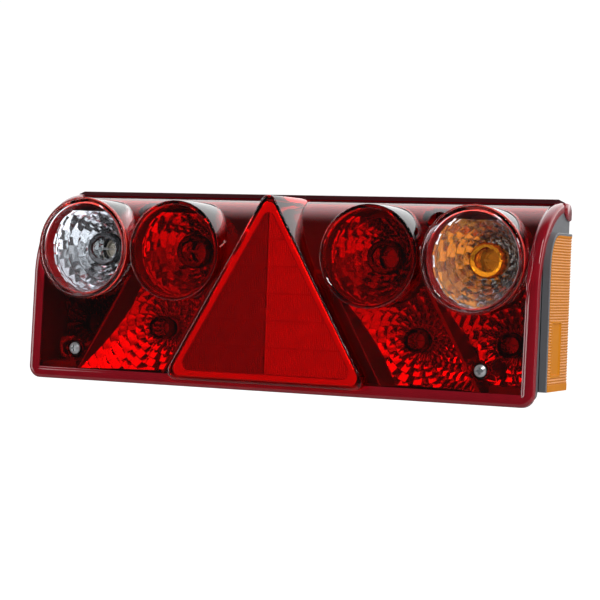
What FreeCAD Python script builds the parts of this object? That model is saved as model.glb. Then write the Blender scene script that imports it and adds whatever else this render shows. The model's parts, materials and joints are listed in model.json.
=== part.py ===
import FreeCAD, Part
import math
import os
import Sketcher

# Trailer tail light: a long grey housing tray with a red one-piece lens over its front and
# its rounded top. Four round lamps stand in a row, two of them with clear lenses, a large
# triangular reflex reflector sits between them, and an amber marker closes the +X end.
#
# Every sub-part is drawn in the case frame: X along the lamp from its middle, Y from the
# foot of the lens's front towards the vehicle, and Z up from the lens's lower edge.
# place() then moves it to the part's frame, whose origin is midway between the two
# mounting studs on the rear face.

doc = FreeCAD.newDocument("TrailerTailLight")
sheet = doc.addObject("Spreadsheet::Sheet", "Sizes")


class Size:
    """A number together with the spreadsheet expression that gives it."""

    def __init__(self, value, text):
        self.value = value
        self.text = text

    def _join(self, other, sign, value):
        return Size(value, "(" + self.text + " " + sign + " " + size(other).text + ")")

    def __add__(self, other):
        return self._join(other, "+", self.value + size(other).value)

    def __sub__(self, other):
        return self._join(other, "-", self.value - size(other).value)

    def __mul__(self, other):
        return self._join(other, "*", self.value * size(other).value)

    def __truediv__(self, other):
        return self._join(other, "/", self.value / size(other).value)

    def __radd__(self, other):
        return size(other) + self

    def __rsub__(self, other):
        return size(other) - self

    def __rmul__(self, other):
        return size(other) * self

    def __neg__(self):
        return size(0) - self


def size(number):
    """Any number as a Size; a plain number becomes its own expression."""
    if isinstance(number, Size):
        return number
    return Size(float(number), "(" + repr(float(number)) + ")")


DRIVING = {
    # the lens section, seen from the end
    "lens_length": 392, "lens_crown": 138.8, "lip_top": 141.2, "lip_thick": 2.5,
    "lens_depth": 63, "front_lean": 3, "shoulder_height": 75, "crown_depth": 60,
    "crown_radius": 64.25, "lens_wall": 2.5, "foot_depth": 12,
    # the case
    "case_depth": 75, "case_wall": 2.5, "case_inset": 3.5, "case_end": 194.5,
    "mount_height": 65, "seal_thick": 0.9,
    # round lamps and the triangle
    "lamp_inner": 75.4, "lamp_outer": 151, "lamp_height": 97.2, "lamp_radius": 36.1,
    "lamp_front": -3.2, "lamp_back": 50,
    "tri_side": 160.4, "tri_base": 5.2, "tri_front": -6.3, "tri_round": 6,
    # lower chambers
    "low_inner": 101, "low_outer": 169, "low_height": 40, "rib_lean": 0.577,
    # lens screws
    "screw_low_x": 158, "screw_low_z": 23, "screw_high_x": 113, "screw_high_z": 124.5,
    "screw_radius": 2, "screw_head": 4.2,
    # bulbs and their sockets
    "globe_radius": 12.5, "small_globe": 9, "cap_radius": 7.5, "socket_front": 50,
    # mounting studs and the connector on the rear face
    "stud_spacing": 152, "stud_radius": 4, "stud_reach": 25, "plug_bore": 10.5,
    "plug_radius": 13, "plug_reach": 15,
    # the marker on the +X end
    "marker_low": 10.3, "marker_high": 117.5, "marker_front": 15, "marker_rear": 62,
    "marker_proud": 6, "marker_wall": 1.6,
}

D = {}
for row, (alias, number) in enumerate(DRIVING.items(), start=1):
    cell = "B" + str(row)
    sheet.set("A" + str(row), alias)
    sheet.set(cell, str(number))
    sheet.setAlias(cell, alias)
    D[alias] = Size(float(number), "Sizes." + alias)
doc.recompute()

NODES = {}


def keep(item, name):
    """Give a finished sub-part its name."""
    item.Label = name
    NODES[name] = item
    return item


def place(item, x=0, y=0, z=0):
    """Put a sub-part at a place of the case frame."""
    item.setExpression("Placement.Base.x", size(x).text)
    item.setExpression("Placement.Base.y", (y - D["case_depth"]).text)
    item.setExpression("Placement.Base.z", (z - D["mount_height"]).text)
    return item


# ---------------------------------------------------------------- sketches and solids

def pin_point(sketch, edge, end, point):
    """Tie one end of an edge to its two sizes, measured from the sketch's origin."""
    for kind, number in (("DistanceX", point[0]), ("DistanceY", point[1])):
        index = sketch.addConstraint(
            Sketcher.Constraint(kind, -1, 1, edge, end, size(number).value))
        sketch.setExpression("Constraints[" + str(index) + "]", size(number).text)


def vector(point):
    return FreeCAD.Vector(size(point[0]).value, size(point[1]).value, 0)


def arc_between(start, end, radius):
    """The short arc from start to end; a positive radius bulges left of that direction."""
    chord = end - start
    half = chord.Length / 2
    rise = abs(radius) - math.sqrt(max(radius * radius - half * half, 0))
    left = FreeCAD.Vector(-chord.y, chord.x, 0).normalize()
    middle = (start + end) * 0.5 + left * math.copysign(rise, radius)
    return Part.Arc(start, middle, end)


def outline(sketch, points, arcs=None):
    """A closed outline through the points. arcs gives the radius of each rounded edge."""
    arcs = arcs or {}
    edges = []
    for i, point in enumerate(points):
        start = vector(point)
        end = vector(points[(i + 1) % len(points)])
        if i in arcs:
            edge = sketch.addGeometry(arc_between(start, end, size(arcs[i]).value))
        else:
            edge = sketch.addGeometry(Part.LineSegment(start, end))
        first = 1 if (sketch.getPoint(edge, 1) - start).Length < 1e-4 else 2
        edges.append((edge, first, 3 - first))
    for i, (edge, first, last) in enumerate(edges):
        follower = edges[(i + 1) % len(edges)]
        sketch.addConstraint(Sketcher.Constraint("Coincident", edge, last, follower[0], follower[1]))
        pin_point(sketch, edge, first, points[i])
        if i in arcs:
            reach = size(arcs[i])
            index = sketch.addConstraint(Sketcher.Constraint("Radius", edge, abs(reach.value)))
            text = reach.text if reach.value > 0 else (-reach).text
            sketch.setExpression("Constraints[" + str(index) + "]", text)


def new_sketch(body, plane):
    """A sketch on one of the body's own origin planes."""
    sketch = body.newObject("Sketcher::SketchObject", "Outline")
    planes = [p for p in body.Origin.OriginFeatures if p.Role == plane]
    sketch.AttachmentSupport = [(planes[0], "")]
    sketch.MapMode = "FlatFace"
    return sketch


def prism(name, plane, length, points, arcs=None):
    """A PartDesign body: one outline padded to a length."""
    body = doc.addObject("PartDesign::Body", name)
    sketch = new_sketch(body, plane)
    outline(sketch, points, arcs)
    pad = body.newObject("PartDesign::Pad", "Pad")
    pad.Profile = sketch
    pad.setExpression("Length", size(length).text)
    return body


def along_x(name, low, high, points, arcs=None):
    """Outline in (Y, Z), from X = low to X = high."""
    return place(prism(name, "YZ_Plane", high - low, points, arcs), low, 0, 0)


def along_y(name, front, rear, points, arcs=None):
    """Outline in (X, Z), from Y = front to Y = rear."""
    return place(prism(name, "XZ_Plane", rear - front, points, arcs), 0, rear, 0)


def turned(name, points, x, z, arcs=None):
    """An outline in (radius, Y) turned about the Y axis through (x, z)."""
    body = doc.addObject("PartDesign::Body", name)
    sketch = new_sketch(body, "XY_Plane")
    outline(sketch, points, arcs)
    turn = body.newObject("PartDesign::Revolution", "Turn")
    turn.Profile = sketch
    turn.ReferenceAxis = (sketch, ["V_Axis"])
    turn.Angle = 360
    return place(body, x, 0, z)


def rod(name, radius, front, rear, x, z):
    """A cylinder along Y."""
    item = doc.addObject("Part::Cylinder", name)
    item.Placement.Rotation = FreeCAD.Rotation(FreeCAD.Vector(1, 0, 0), -90)
    item.setExpression("Radius", size(radius).text)
    item.setExpression("Height", (size(rear) - front).text)
    return place(item, x, size(front), z)


def block(name, low, high):
    """A box between two corners."""
    item = doc.addObject("Part::Box", name)
    for side, a, b in zip(("Length", "Width", "Height"), low, high):
        item.setExpression(side, (size(b) - a).text)
    return place(item, size(low[0]), size(low[1]), size(low[2]))


def fuse(name, items):
    item = doc.addObject("Part::MultiFuse", name)
    item.Shapes = items
    return item


def cut(name, base, tools):
    item = doc.addObject("Part::Cut", name)
    item.Base = base
    item.Tool = tools[0] if len(tools) == 1 else fuse(name + "_tools", tools)
    return item


def rounded(name, base, radii):
    """Fillets on a solid. radii gives (test of an edge's two ends, radius) pairs."""
    doc.recompute()
    edges = []
    for number, edge in enumerate(base.Shape.Edges, start=1):
        ends = [vertex.Point for vertex in edge.Vertexes]
        for test, radius in radii:
            if len(ends) == 2 and test(ends[0], ends[1]):
                edges.append((number, radius, radius))
                break
    item = doc.addObject("Part::Fillet", name)
    item.Base = base
    item.Edges = edges
    return item


def common(name, first, second):
    item = doc.addObject("Part::Common", name)
    item.Base = first
    item.Tool = second
    return item


# ---------------------------------------------------------------- the lens section

def lens_section(inset, rear, floor):
    """The D-shaped section of the lens, moved inwards by inset, as points and arcs."""
    front = D["front_lean"] + inset
    foot = inset + D["front_lean"] * floor / D["shoulder_height"]
    points = [(foot, size(floor)), (front, D["shoulder_height"]),
              (D["crown_depth"], D["lens_crown"] - inset), (size(rear), D["lens_crown"] - inset),
              (size(rear), size(floor))]
    return points, {1: D["crown_radius"] - inset}


def lens_solid(name, inset, low, high, rear, floor):
    points, arcs = lens_section(inset, rear, floor)
    return along_x(name, low, high, points, arcs)


LAMPS = {"reversing": -D["lamp_outer"], "stop": -D["lamp_inner"],
         "tail": D["lamp_inner"], "indicator": D["lamp_outer"]}
LOW_LAMPS = {"fog": -D["low_inner"], "position": D["low_inner"], "plate": D["low_outer"]}
SCREWS = {"upper_left": (-D["screw_high_x"], D["screw_high_z"], 1),
          "upper_right": (D["screw_high_x"], D["screw_high_z"], 1),
          "lower_left": (-D["screw_low_x"], D["screw_low_z"], 0),
          "lower_right": (D["screw_low_x"], D["screw_low_z"], 0)}
HEAD_SEAT = (5, 46)      # Y of the face under a lower and an upper screw head
POST_TOP = (24.4, 52.4)  # Y where the housing's screw posts begin
TRI_REACH = 52           # Y at which the triangle's apex meets the curved top
NOTCH_X = 164            # the tray's underside steps up towards its two ends from here,
NOTCH_Y = 15             # behind the lens foot,
NOTCH_Z = 10.2           # to this height
CORNER_ROUND = 6         # radius of the housing's two lower corners
REAR_ROUND = 1.8         # radius round its rear face
PLUG_PAD = 18.5          # radius of the thick wall round the connector
PLUG_RECESS = 16.4       # radius of the recess for the connector's seal ring
STUD_SHOULDER = 5        # radius of the studs inside the wall
SOCKET_RADIUS = 9.3
NECK_RADIUS = 10.6       # hole in a reflector for its bulb
TRAY_LOW = 9             # floor of the lower reflectors, and of the two above the steps
TRAY_LOW_END = 13.4
TRAY_TOP = 78            # their top and their wall thickness
TRAY_SKIN = 1.6
POST_ROOM = 7.8          # room round a screw post
VENT_X = -118            # place of the breather in the underside, and its stem's radius
VENT_Y = 58
VENT_STEM = 3


def triangle(name, inset, front, rear):
    """The triangle's prism, its three corners rounded, moved inwards by inset."""
    half = D["tri_side"] / 2
    rise = D["tri_side"] * (math.sqrt(3) / 2)
    reach = D["tri_round"]
    root3 = math.sqrt(3)
    low = D["tri_base"] + inset
    run = half - reach * root3
    points = [(-run, low), (run, low),
              (run + (reach - inset) * (root3 / 2), D["tri_base"] + reach * 1.5 - inset * 0.5),
              ((reach - inset) * (root3 / 2), D["tri_base"] + rise - reach * 1.5 - inset * 0.5),
              (-(reach - inset) * (root3 / 2), D["tri_base"] + rise - reach * 1.5 - inset * 0.5),
              (-run - (reach - inset) * (root3 / 2), D["tri_base"] + reach * 1.5 - inset * 0.5)]
    bend = reach - inset
    return along_y(name, front, rear, points, {1: -bend, 3: -bend, 5: -bend})


def lens_group():
    """Red lens body, two clear round lenses and the triangular reflector."""
    half = D["lens_length"] / 2
    wall = D["lens_wall"]
    back = D["lamp_back"]
    outside = [lens_solid("LensOutside", 0, -half, half, D["lens_depth"], 0)]
    inside = [lens_solid("LensInside", wall, -half - 1, half + 1, D["lens_depth"] + 1, wall)]
    for name, x in LAMPS.items():
        outside.append(rod("Barrel_" + name, D["lamp_radius"], D["lamp_front"], back,
                           x, D["lamp_height"]))
        inside.append(rod("Bore_" + name, D["lamp_radius"] - wall, D["lamp_front"] + wall,
                          back + 1, x, D["lamp_height"]))
    outside.append(triangle("TriangleOutside", 0, D["tri_front"], size(TRI_REACH)))
    inside.append(triangle("TriangleInside", wall, D["tri_front"] + 3, size(TRI_REACH) - 5))
    outside.append(block("TopLip", (-half, D["lens_depth"] - D["lip_thick"], D["lens_crown"] - 2),
                         (half, D["lens_depth"], D["lip_top"])))
    # the foot under the case is only as deep as its rim
    inside.append(block("FootTrim", (-half - 1, D["foot_depth"], -1),
                        (half + 1, D["lens_depth"] + 1, wall + 1)))
    skin = cut("LensSkin", fuse("LensOuter", outside), inside)

    bosses = []
    wells = []
    full = lens_solid("LensFull", 0, -half, half, D["lens_depth"], 0)
    for name, (x, z, upper) in SCREWS.items():
        seat = HEAD_SEAT[upper]
        bosses.append(rod("Boss_" + name, 7.2, -5, POST_TOP[upper] - 0.4, x, z))
        wells.append(rod("Well_" + name, 5.6, -12, seat, x, z))
        wells.append(rod("Hole_" + name, D["screw_radius"] + 0.4, -12, POST_TOP[upper] + 1, x, z))
    posts = common("LensBosses", fuse("BossRods", bosses), full)
    whole = cut("LensWhole", fuse("LensAndBosses", [skin, posts]), wells)

    plugs = [rod("Window_" + name, D["lamp_radius"], -12, back + 5, LAMPS[name], D["lamp_height"])
             for name in ("reversing", "indicator")]
    pane = triangle("TriangleWindow", 0, size(-12), size(TRI_REACH) + 2)
    keep(cut("RedLens", whole, plugs + [pane]), "lens_body")
    keep(common("ReversingLens", whole, plugs[0]), "reversing_lens")
    keep(common("IndicatorLens", whole, plugs[1]), "indicator_lens")
    keep(common("TriangleLens", whole, pane), "triangle_reflector")


# ---------------------------------------------------------------- the housing

def foot_notches(name, grown):
    """The two steps in the underside, grown by a wall thickness, as blocks to cut away."""
    end = D["case_end"] + 1
    rear = D["case_depth"] + 1
    right = block(name + "_right", (NOTCH_X - grown, NOTCH_Y - grown, 0), (end, rear, NOTCH_Z + grown))
    left = block(name + "_left", (-end, NOTCH_Y - grown, 0), (grown - NOTCH_X, rear, NOTCH_Z + grown))
    return [left, right]


def housing():
    """Grey tray: full end walls, a floor, a rear wall, a top flange and four screw posts."""
    wall = D["case_wall"]
    end = D["case_end"]
    rear = D["case_depth"]
    shell = lens_solid("CaseOutside", D["case_inset"], -end, end, rear, D["case_inset"])
    foot_z = (D["case_inset"] - D["mount_height"]).value

    def long_foot_edge(a, b):
        return abs(a.z - foot_z) < 0.01 and abs(b.z - foot_z) < 0.01 and abs(a.x - b.x) < 0.01

    def rear_edge(a, b):
        return abs(a.y) < 0.01 and abs(b.y) < 0.01

    shell = rounded("CaseRounded", shell, [(long_foot_edge, CORNER_ROUND), (rear_edge, REAR_ROUND)])
    hollow = block("CaseHollow", (-end + wall, -10, D["case_inset"] + wall),
                   (end - wall, rear - wall, D["lens_crown"] - D["case_inset"] - wall))
    notched = cut("CaseNotched", shell, foot_notches("Step", size(0)))
    room = cut("CaseRoom", hollow, foot_notches("StepRoom", wall))
    tray = cut("CaseTray", notched, [room])
    posts = []
    holes = []
    for name, (x, z, upper) in SCREWS.items():
        posts.append(rod("Post_" + name, 5, POST_TOP[upper], rear - 1, x, z))
        holes.append(rod("PostHole_" + name, D["screw_radius"] + 0.25, 0, rear - wall - 2, x, z))
    for side in (-1, 1):
        holes.append(rod("StudHole_" + str(side), STUD_SHOULDER, 0, rear + 1,
                         D["stud_spacing"] / 2 * side, D["mount_height"]))
        posts.append(rod("StudPad_" + str(side), 11, rear - wall - 1.5, rear - 1,
                         D["stud_spacing"] / 2 * side, D["mount_height"]))
    posts.append(rod("PlugPad", PLUG_PAD, rear - 6, rear - 1, 0, D["mount_height"]))
    holes.append(rod("PlugHole", D["plug_radius"], 0, rear + 1, 0, D["mount_height"]))
    holes.append(rod("PlugRecess", PLUG_RECESS, rear - 3, rear + 1, 0, D["mount_height"]))
    vent = doc.addObject("Part::Cylinder", "VentHole")
    vent.Radius = VENT_STEM
    vent.Height = 20
    holes.append(place(vent, size(VENT_X), size(VENT_Y), size(-5)))
    # window behind the marker, drain slots, and shallow recesses in the rear face
    holes.append(block("MarkerWindow", (end - wall - 1, 24, 38), (end + 1, 56, 92)))
    for x in (-140, -50, 50, 140):
        holes.append(block("Drain_" + str(x), (x - 5, 40, 0), (x + 5, 43, 8)))
    for x in (-168, -38, 38, 168):
        for z in (12, 84):
            holes.append(block("Recess_" + str(x) + "_" + str(z), (x - 20, rear - 1, z),
                               (x + 20, rear + 1, z + 36)))
    return keep(cut("Case", fuse("CaseWithPosts", [tray] + posts), holes), "housing")


def lens_seal():
    """Rubber cord pressed between the lens and the rims of the tray's end walls."""
    end = D["case_end"]
    near = D["case_inset"] - D["seal_thick"]
    parts = []
    for side, low, high in (("left", -end, -end + 4), ("right", end - 4, end)):
        band = lens_solid("SealBand_" + side, near, low, high, 68, D["case_inset"])
        core = lens_solid("SealCore_" + side, D["case_inset"], low - 1, high + 1, 70, 0)
        parts.append(cut("SealEnd_" + side, band, [core]))
    foot = block("SealFoot", (-end + 7, 5.5, D["case_inset"] - D["seal_thick"]),
                 (end - 7, 11, D["case_inset"]))
    return keep(fuse("Seal", parts + [foot]), "lens_seal")


# ---------------------------------------------------------------- reflectors

def bowl_outline(rim, neck, front, rear, wall):
    """Outline of a thin bowl, open at the front, with a round neck for the bulb."""
    deep = rear - front
    return [(size(rim), size(front)), (rim * 0.93, front + deep * 0.42),
            (rim * 0.74, front + deep * 0.74), (size(neck + wall), size(rear)),
            (size(neck), size(rear)), (rim * 0.74 - wall, front + deep * 0.74 - wall * 0.6),
            (rim * 0.93 - wall, front + deep * 0.42), (size(rim - wall), size(front))]


def round_reflector(name, x):
    """Metallised bowl behind a round lens."""
    rim = D["lamp_radius"] - D["lens_wall"] - 0.6
    points = bowl_outline(rim, NECK_RADIUS, size(3), D["socket_front"], 1.5)
    return keep(turned("Bowl_" + name, points, x, D["lamp_height"]), "reflector_" + name)


def low_reflector(name, x, inner, outer, slant_outer, low):
    """Metallised tray below the round lamps: slanted walls, a flat floor and a neck."""
    side = 1 if size(x).value > 0 else -1
    low = size(low)
    top = size(TRAY_TOP)
    lean = (top - low) * D["rib_lean"]
    corners = [(inner * side, low), ((inner - lean) * side, top),
               ((outer - lean * slant_outer) * side, top), (outer * side, low)]
    floor_y = D["socket_front"] - 1.5
    block_out = along_y("Tray_" + name, size(9), D["socket_front"], corners)
    skin = TRAY_SKIN
    inner_corners = [((inner + skin) * side, low + skin), ((inner - lean + skin) * side, top - skin),
                     ((outer - lean * slant_outer - skin) * side, top - skin),
                     ((outer - skin) * side, low + skin)]
    hollow = along_y("TrayHollow_" + name, size(8), floor_y, inner_corners)
    neck = rod("TrayNeck_" + name, NECK_RADIUS, 0, D["socket_front"] + 1, x, D["low_height"])
    tools = [hollow, neck]
    for lamp, centre in LAMPS.items():
        if centre.value * side > 0:
            tools.append(rod("TrayRound_" + name + lamp, D["lamp_radius"] - 1, 0,
                             D["socket_front"] + 1, centre, D["lamp_height"]))
    for screw in ("lower_left", "lower_right"):
        screw_x, screw_z, _ = SCREWS[screw]
        tools.append(rod("TrayScrew_" + name + screw, POST_ROOM, 0, D["socket_front"] + 1,
                         screw_x, screw_z))
    return keep(cut("LowTray_" + name, block_out, tools), "reflector_" + name)


# ---------------------------------------------------------------- bulbs and sockets

PIN_Y = 56.5       # depth of the two bayonet pins


def socket(name, x, z):
    """Bayonet socket: a flanged tube with two L-shaped slots, closed at the rear."""
    front = D["socket_front"]
    rear = D["case_depth"] - D["case_wall"]
    inner = D["cap_radius"] + 0.4
    points = [(inner, front + 0.2), (size(11.6), front + 0.2), (size(11.6), front + 1.8),
              (size(SOCKET_RADIUS), front + 1.8), (size(SOCKET_RADIUS), size(rear)),
              (size(0), size(rear)),
              (size(0), rear - 3), (inner, rear - 3)]
    tube = turned("SocketTube_" + name, points, x, z)
    slots = []
    for side in (-1, 1):
        low_x = x + side * 6 if side > 0 else x - 12.5
        high_x = x + 12.5 if side > 0 else x - 6
        slots.append(block("SocketRun_" + name + str(side), (low_x, PIN_Y - 1.4, z - 3.4),
                           (high_x, PIN_Y + 1.4, z + 3.4)))
    return keep(cut("Socket_" + name, tube, slots), "socket_" + name)


def bulb(name, x, z, globe):
    """Glass globe and a metal cap with two locking pins and a solder contact."""
    radius = D[globe]
    shoulder = 44.0
    nose = shoulder - 12 - radius * 1.15
    glass = [(size(0), nose), (radius, nose + radius), (radius, nose + radius * 1.35),
             (size(6.2), size(shoulder)), (size(6.2), size(shoulder + 2)), (size(0), size(shoulder + 2))]
    keep(turned("Globe_" + name, glass, x, z, {0: radius}), "bulb_glass_" + name)
    cap = [(size(0), size(shoulder + 2)), (size(6.2), size(shoulder + 2)), (size(6.2), size(shoulder)),
           (size(7.0), size(shoulder)), (D["cap_radius"], size(shoulder + 1.2)),
           (D["cap_radius"], size(shoulder + 17)), (size(5.6), size(shoulder + 18.6)),
           (size(0), size(shoulder + 18.6))]
    shell = turned("CapShell_" + name, cap, x, z)
    pins = doc.addObject("Part::Cylinder", "CapPins_" + name)
    pins.Placement.Rotation = FreeCAD.Rotation(FreeCAD.Vector(0, 1, 0), 90)
    pins.Radius = 1
    pins.setExpression("Height", (D["cap_radius"] * 2 + 2.2).text)
    place(pins, x - D["cap_radius"] - 1.1, size(PIN_Y), z)
    keep(fuse("Cap_" + name, [shell, pins]), "bulb_cap_" + name)


def busbar():
    """Brass earth strip along the rear wall with a tab to each socket."""
    rear = D["case_depth"] - D["case_wall"]
    low = 84.4
    high = 87.2
    parts = [block("Strip", (-165, rear - 1.2, low), (180, rear, high))]
    for name, x in LAMPS.items():
        parts.append(block("Tab_" + name, (x - 3, rear - 1.2, high - 0.5),
                           (x + 3, rear, D["lamp_height"] - SOCKET_RADIUS - 0.1)))
    for name, x in LOW_LAMPS.items():
        parts.append(block("Tab_" + name, (x - 3, rear - 1.2, D["low_height"] + SOCKET_RADIUS + 0.1),
                           (x + 3, rear, low + 0.5)))
    return keep(fuse("Busbar", parts), "earth_busbar")


def contact_plungers():
    """Spring plungers in the sockets, one behind the solder contact of each bulb."""
    rear = D["case_depth"] - D["case_wall"] - 3
    parts = []
    for name, x, z in all_bulbs():
        parts.append(rod("Plunger_" + name, 2.2, 63.6, rear, x, z))
    return keep(fuse("Plungers", parts), "contact_plungers")


def all_bulbs():
    upper = [(name, x, D["lamp_height"]) for name, x in LAMPS.items()]
    lower = [(name, x, D["low_height"]) for name, x in LOW_LAMPS.items()]
    return upper + lower


# ---------------------------------------------------------------- fasteners and connector

def lens_screw(name):
    """Pan-head screw with a cross recess, held in the lens by its washer."""
    x, z, upper = SCREWS[name]
    seat = HEAD_SEAT[upper]
    tip = POST_TOP[upper] + 13
    radius = D["screw_radius"]
    head = D["screw_head"]
    points = [(size(0), size(seat - 4.1)), (size(2.2), size(seat - 4.1)), (head, size(seat - 2.5)),
              (head, size(seat - 1.1)), (radius, size(seat - 1.1)), (radius, size(tip - 2.5)),
              (size(0.4), size(tip)), (size(0), size(tip))]
    body = turned("ScrewBody_" + name, points, x, z)
    slots = [block("SlotA_" + name, (x - 2.4, seat - 5, z - 0.5), (x + 2.4, seat - 2.6, z + 0.5)),
             block("SlotB_" + name, (x - 0.5, seat - 5, z - 2.4), (x + 0.5, seat - 2.6, z + 2.4))]
    return keep(cut("Screw_" + name, body, slots), "screw_" + name)


def screw_washers():
    """Rubber sealing washers under the four screw heads."""
    parts = []
    for name, (x, z, upper) in SCREWS.items():
        seat = HEAD_SEAT[upper]
        ring = rod("WasherDisc_" + name, 5.4, seat - 1.0, seat, x, z)
        hole = rod("WasherHole_" + name, D["screw_radius"] + 0.3, seat - 2, seat + 1, x, z)
        parts.append(cut("Washer_" + name, ring, [hole]))
    return keep(fuse("Washers", parts), "screw_washers")


def mounting_studs():
    """Two M8 studs whose hexagon heads sit inside the rear wall."""
    rear = D["case_depth"]
    seat = rear - D["case_wall"] - 1.5
    across = 7.5
    parts = []
    for side in (-1, 1):
        x = D["stud_spacing"] / 2 * side
        corners = []
        for i in range(6):
            angle = math.radians(60 * i)
            corners.append((x + across * math.cos(angle), D["mount_height"] + across * math.sin(angle)))
        parts.append(along_y("StudHead_" + str(side), seat - 5.3, seat, corners))
        parts.append(rod("StudShoulder_" + str(side), STUD_SHOULDER, seat - 1, rear,
                         x, D["mount_height"]))
        parts.append(rod("StudShank_" + str(side), D["stud_radius"], rear - 1,
                         rear + D["stud_reach"], x, D["mount_height"]))
    return keep(fuse("Studs", parts), "mounting_studs")


LUG_MIDDLE = 12.8      # X of the middle of a bayonet lug, and half its width
LUG_HALF = 1.2
PIN_CIRCLE = 5.6       # radius of the circle of pins, and of one pin
PIN_RADIUS = 1.2
SEAL_CORD = 1.3        # radius of the round seal cord


def connector():
    """Round connector inlet on the rear face: a flanged cup, its pins and its seal ring."""
    rear = D["case_depth"]
    mouth = rear + D["plug_reach"]
    height = D["mount_height"]
    points = [(size(0), size(rear - 11)), (D["plug_radius"] + 3, size(rear - 11)),
              (D["plug_radius"] + 3, rear - 6), (D["plug_radius"], rear - 6),
              (D["plug_radius"], size(mouth)), (D["plug_bore"], size(mouth)),
              (D["plug_bore"], rear - 3), (size(0), rear - 3)]
    cup = turned("PlugCup", points, 0, height)
    lugs = [block("PlugLug_" + str(side), (side * LUG_MIDDLE - LUG_HALF, mouth - 6, height - 2),
                  (side * LUG_MIDDLE + LUG_HALF, mouth - 2, height + 2)) for side in (-1, 1)]
    holes = []
    pins = []
    for i in range(5):
        angle = math.radians(90 + 72 * i)
        x = PIN_CIRCLE * math.cos(angle)
        z = height + PIN_CIRCLE * math.sin(angle)
        holes.append(rod("PinHole_" + str(i), PIN_RADIUS, rear - 12, rear, x, z))
        pins.append(rod("Pin_" + str(i), PIN_RADIUS, rear - 10.5, rear + 7, x, z))
    keep(cut("PlugSocket", fuse("PlugWithLugs", [cup] + lugs), holes), "connector_socket")
    keep(fuse("Pins", pins), "connector_pins")
    ring = doc.addObject("Part::Torus", "SealRing")
    ring.Placement.Rotation = FreeCAD.Rotation(FreeCAD.Vector(1, 0, 0), 90)
    ring.setExpression("Radius1", (D["plug_radius"] + SEAL_CORD).text)
    ring.Radius2 = SEAL_CORD
    place(ring, 0, rear + 1.4, height)
    keep(ring, "connector_seal")


def vent_cap():
    """Breather cap pushed up into the underside of the housing."""
    floor = D["case_inset"]
    pieces = []
    for name, radius, low, high in (("VentStem", VENT_STEM, floor, floor + 5),
                                    ("VentDisc", 7, floor - 1.6, floor),
                                    ("VentCrown", 5.2, floor - 2.9, floor - 1.6)):
        disc = doc.addObject("Part::Cylinder", name)
        disc.Radius = radius
        disc.setExpression("Height", (high - low).text)
        pieces.append(place(disc, size(VENT_X), size(VENT_Y), low))
    return keep(fuse("Vent", pieces), "vent_cap")


# ---------------------------------------------------------------- side marker

def marker_outline(inset):
    """The marker's outline in (Y, Z): its front upper corner follows the lens section."""
    front = D["marker_front"] + inset
    rear = D["marker_rear"] - inset
    low = D["marker_low"] + inset
    high = D["marker_high"] - inset
    return [(front, low), (front, high - 22), (front + 7, high - 7), (front + 18, high),
            (rear, high), (rear, low)], {1: size(30), 2: size(24)}


def marker_prism(name, inset, low, high):
    points, arcs = marker_outline(inset)
    return along_x(name, size(low), size(high), points, arcs)


def side_marker():
    """Amber end marker: seal, carrier plate, cover lens, festoon bulb and its two clips."""
    end = D["case_end"]
    face = end + D["marker_proud"]
    wall = D["marker_wall"]
    seal = cut("MarkerSeal", marker_prism("MarkerSealOuter", size(0.6), end, end + 0.8),
               [marker_prism("MarkerSealInner", size(3.4), end - 1, end + 2)])
    keep(seal, "marker_seal")
    skin = marker_prism("MarkerSkin", size(0), end + 0.8, face)
    hollow = marker_prism("MarkerHollow", wall, end, face - wall)
    keep(cut("MarkerCover", skin, [hollow]), "marker_lens")
    plate = cut("MarkerPlate", marker_prism("MarkerPlateSkin", wall + 0.3, end + 0.8, end + 2),
                [block("MarkerPlateHole", (end, 25, 39), (end + 3, 55, 91))])
    keep(plate, "marker_carrier")
    middle_y = 40
    glass = doc.addObject("Part::Cylinder", "FestoonGlass")
    glass.Radius = 5
    glass.Height = 24
    keep(place(glass, end - 8, size(middle_y), size(53)), "marker_bulb_glass")
    caps = []
    clips = []
    for bottom in (47, 77):
        cap = doc.addObject("Part::Cylinder", "FestoonCap_" + str(bottom))
        cap.Radius = 4
        cap.Height = 6
        caps.append(place(cap, end - 8, size(middle_y), size(bottom)))
    for bottom in (45.8, 83):
        clips.append(block("Clip_" + str(bottom), (end - 12, middle_y - 4, bottom),
                           (end - 2.5, middle_y + 4, bottom + 1.2)))
    keep(fuse("FestoonCaps", caps), "marker_bulb_caps")
    clips.append(block("ClipBridge", (end - 3.7, 20.5, 38), (end - 2.5, 23.5, 92)))
    for bottom in (45.8, 83):
        clips.append(block("ClipArm_" + str(bottom), (end - 3.7, 22, bottom),
                           (end - 2.5, middle_y, bottom + 1.2)))
    keep(fuse("Clips", clips), "marker_clips")


# ---------------------------------------------------------------- build and write

def build():
    housing()
    lens_seal()
    lens_group()
    for name, x in LAMPS.items():
        round_reflector(name, x)
    inner_near = size(90)
    inner_far = D["screw_low_x"] - 1
    low_reflector("fog", -D["low_inner"], inner_near, inner_far, 1, TRAY_LOW)
    low_reflector("position", D["low_inner"], inner_near, inner_far, 1, TRAY_LOW)
    low_reflector("plate", D["low_outer"], inner_far + 5, size(181), 0, TRAY_LOW_END)
    low_reflector("blank", -D["low_outer"], inner_far + 5, size(188), 0, TRAY_LOW_END)
    for name, x, z in all_bulbs():
        socket(name, x, z)
        bulb(name, x, z, "small_globe" if name in LOW_LAMPS else "globe_radius")
    busbar()
    contact_plungers()
    for name in SCREWS:
        lens_screw(name)
    screw_washers()
    mounting_studs()
    connector()
    vent_cap()
    side_marker()


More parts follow.
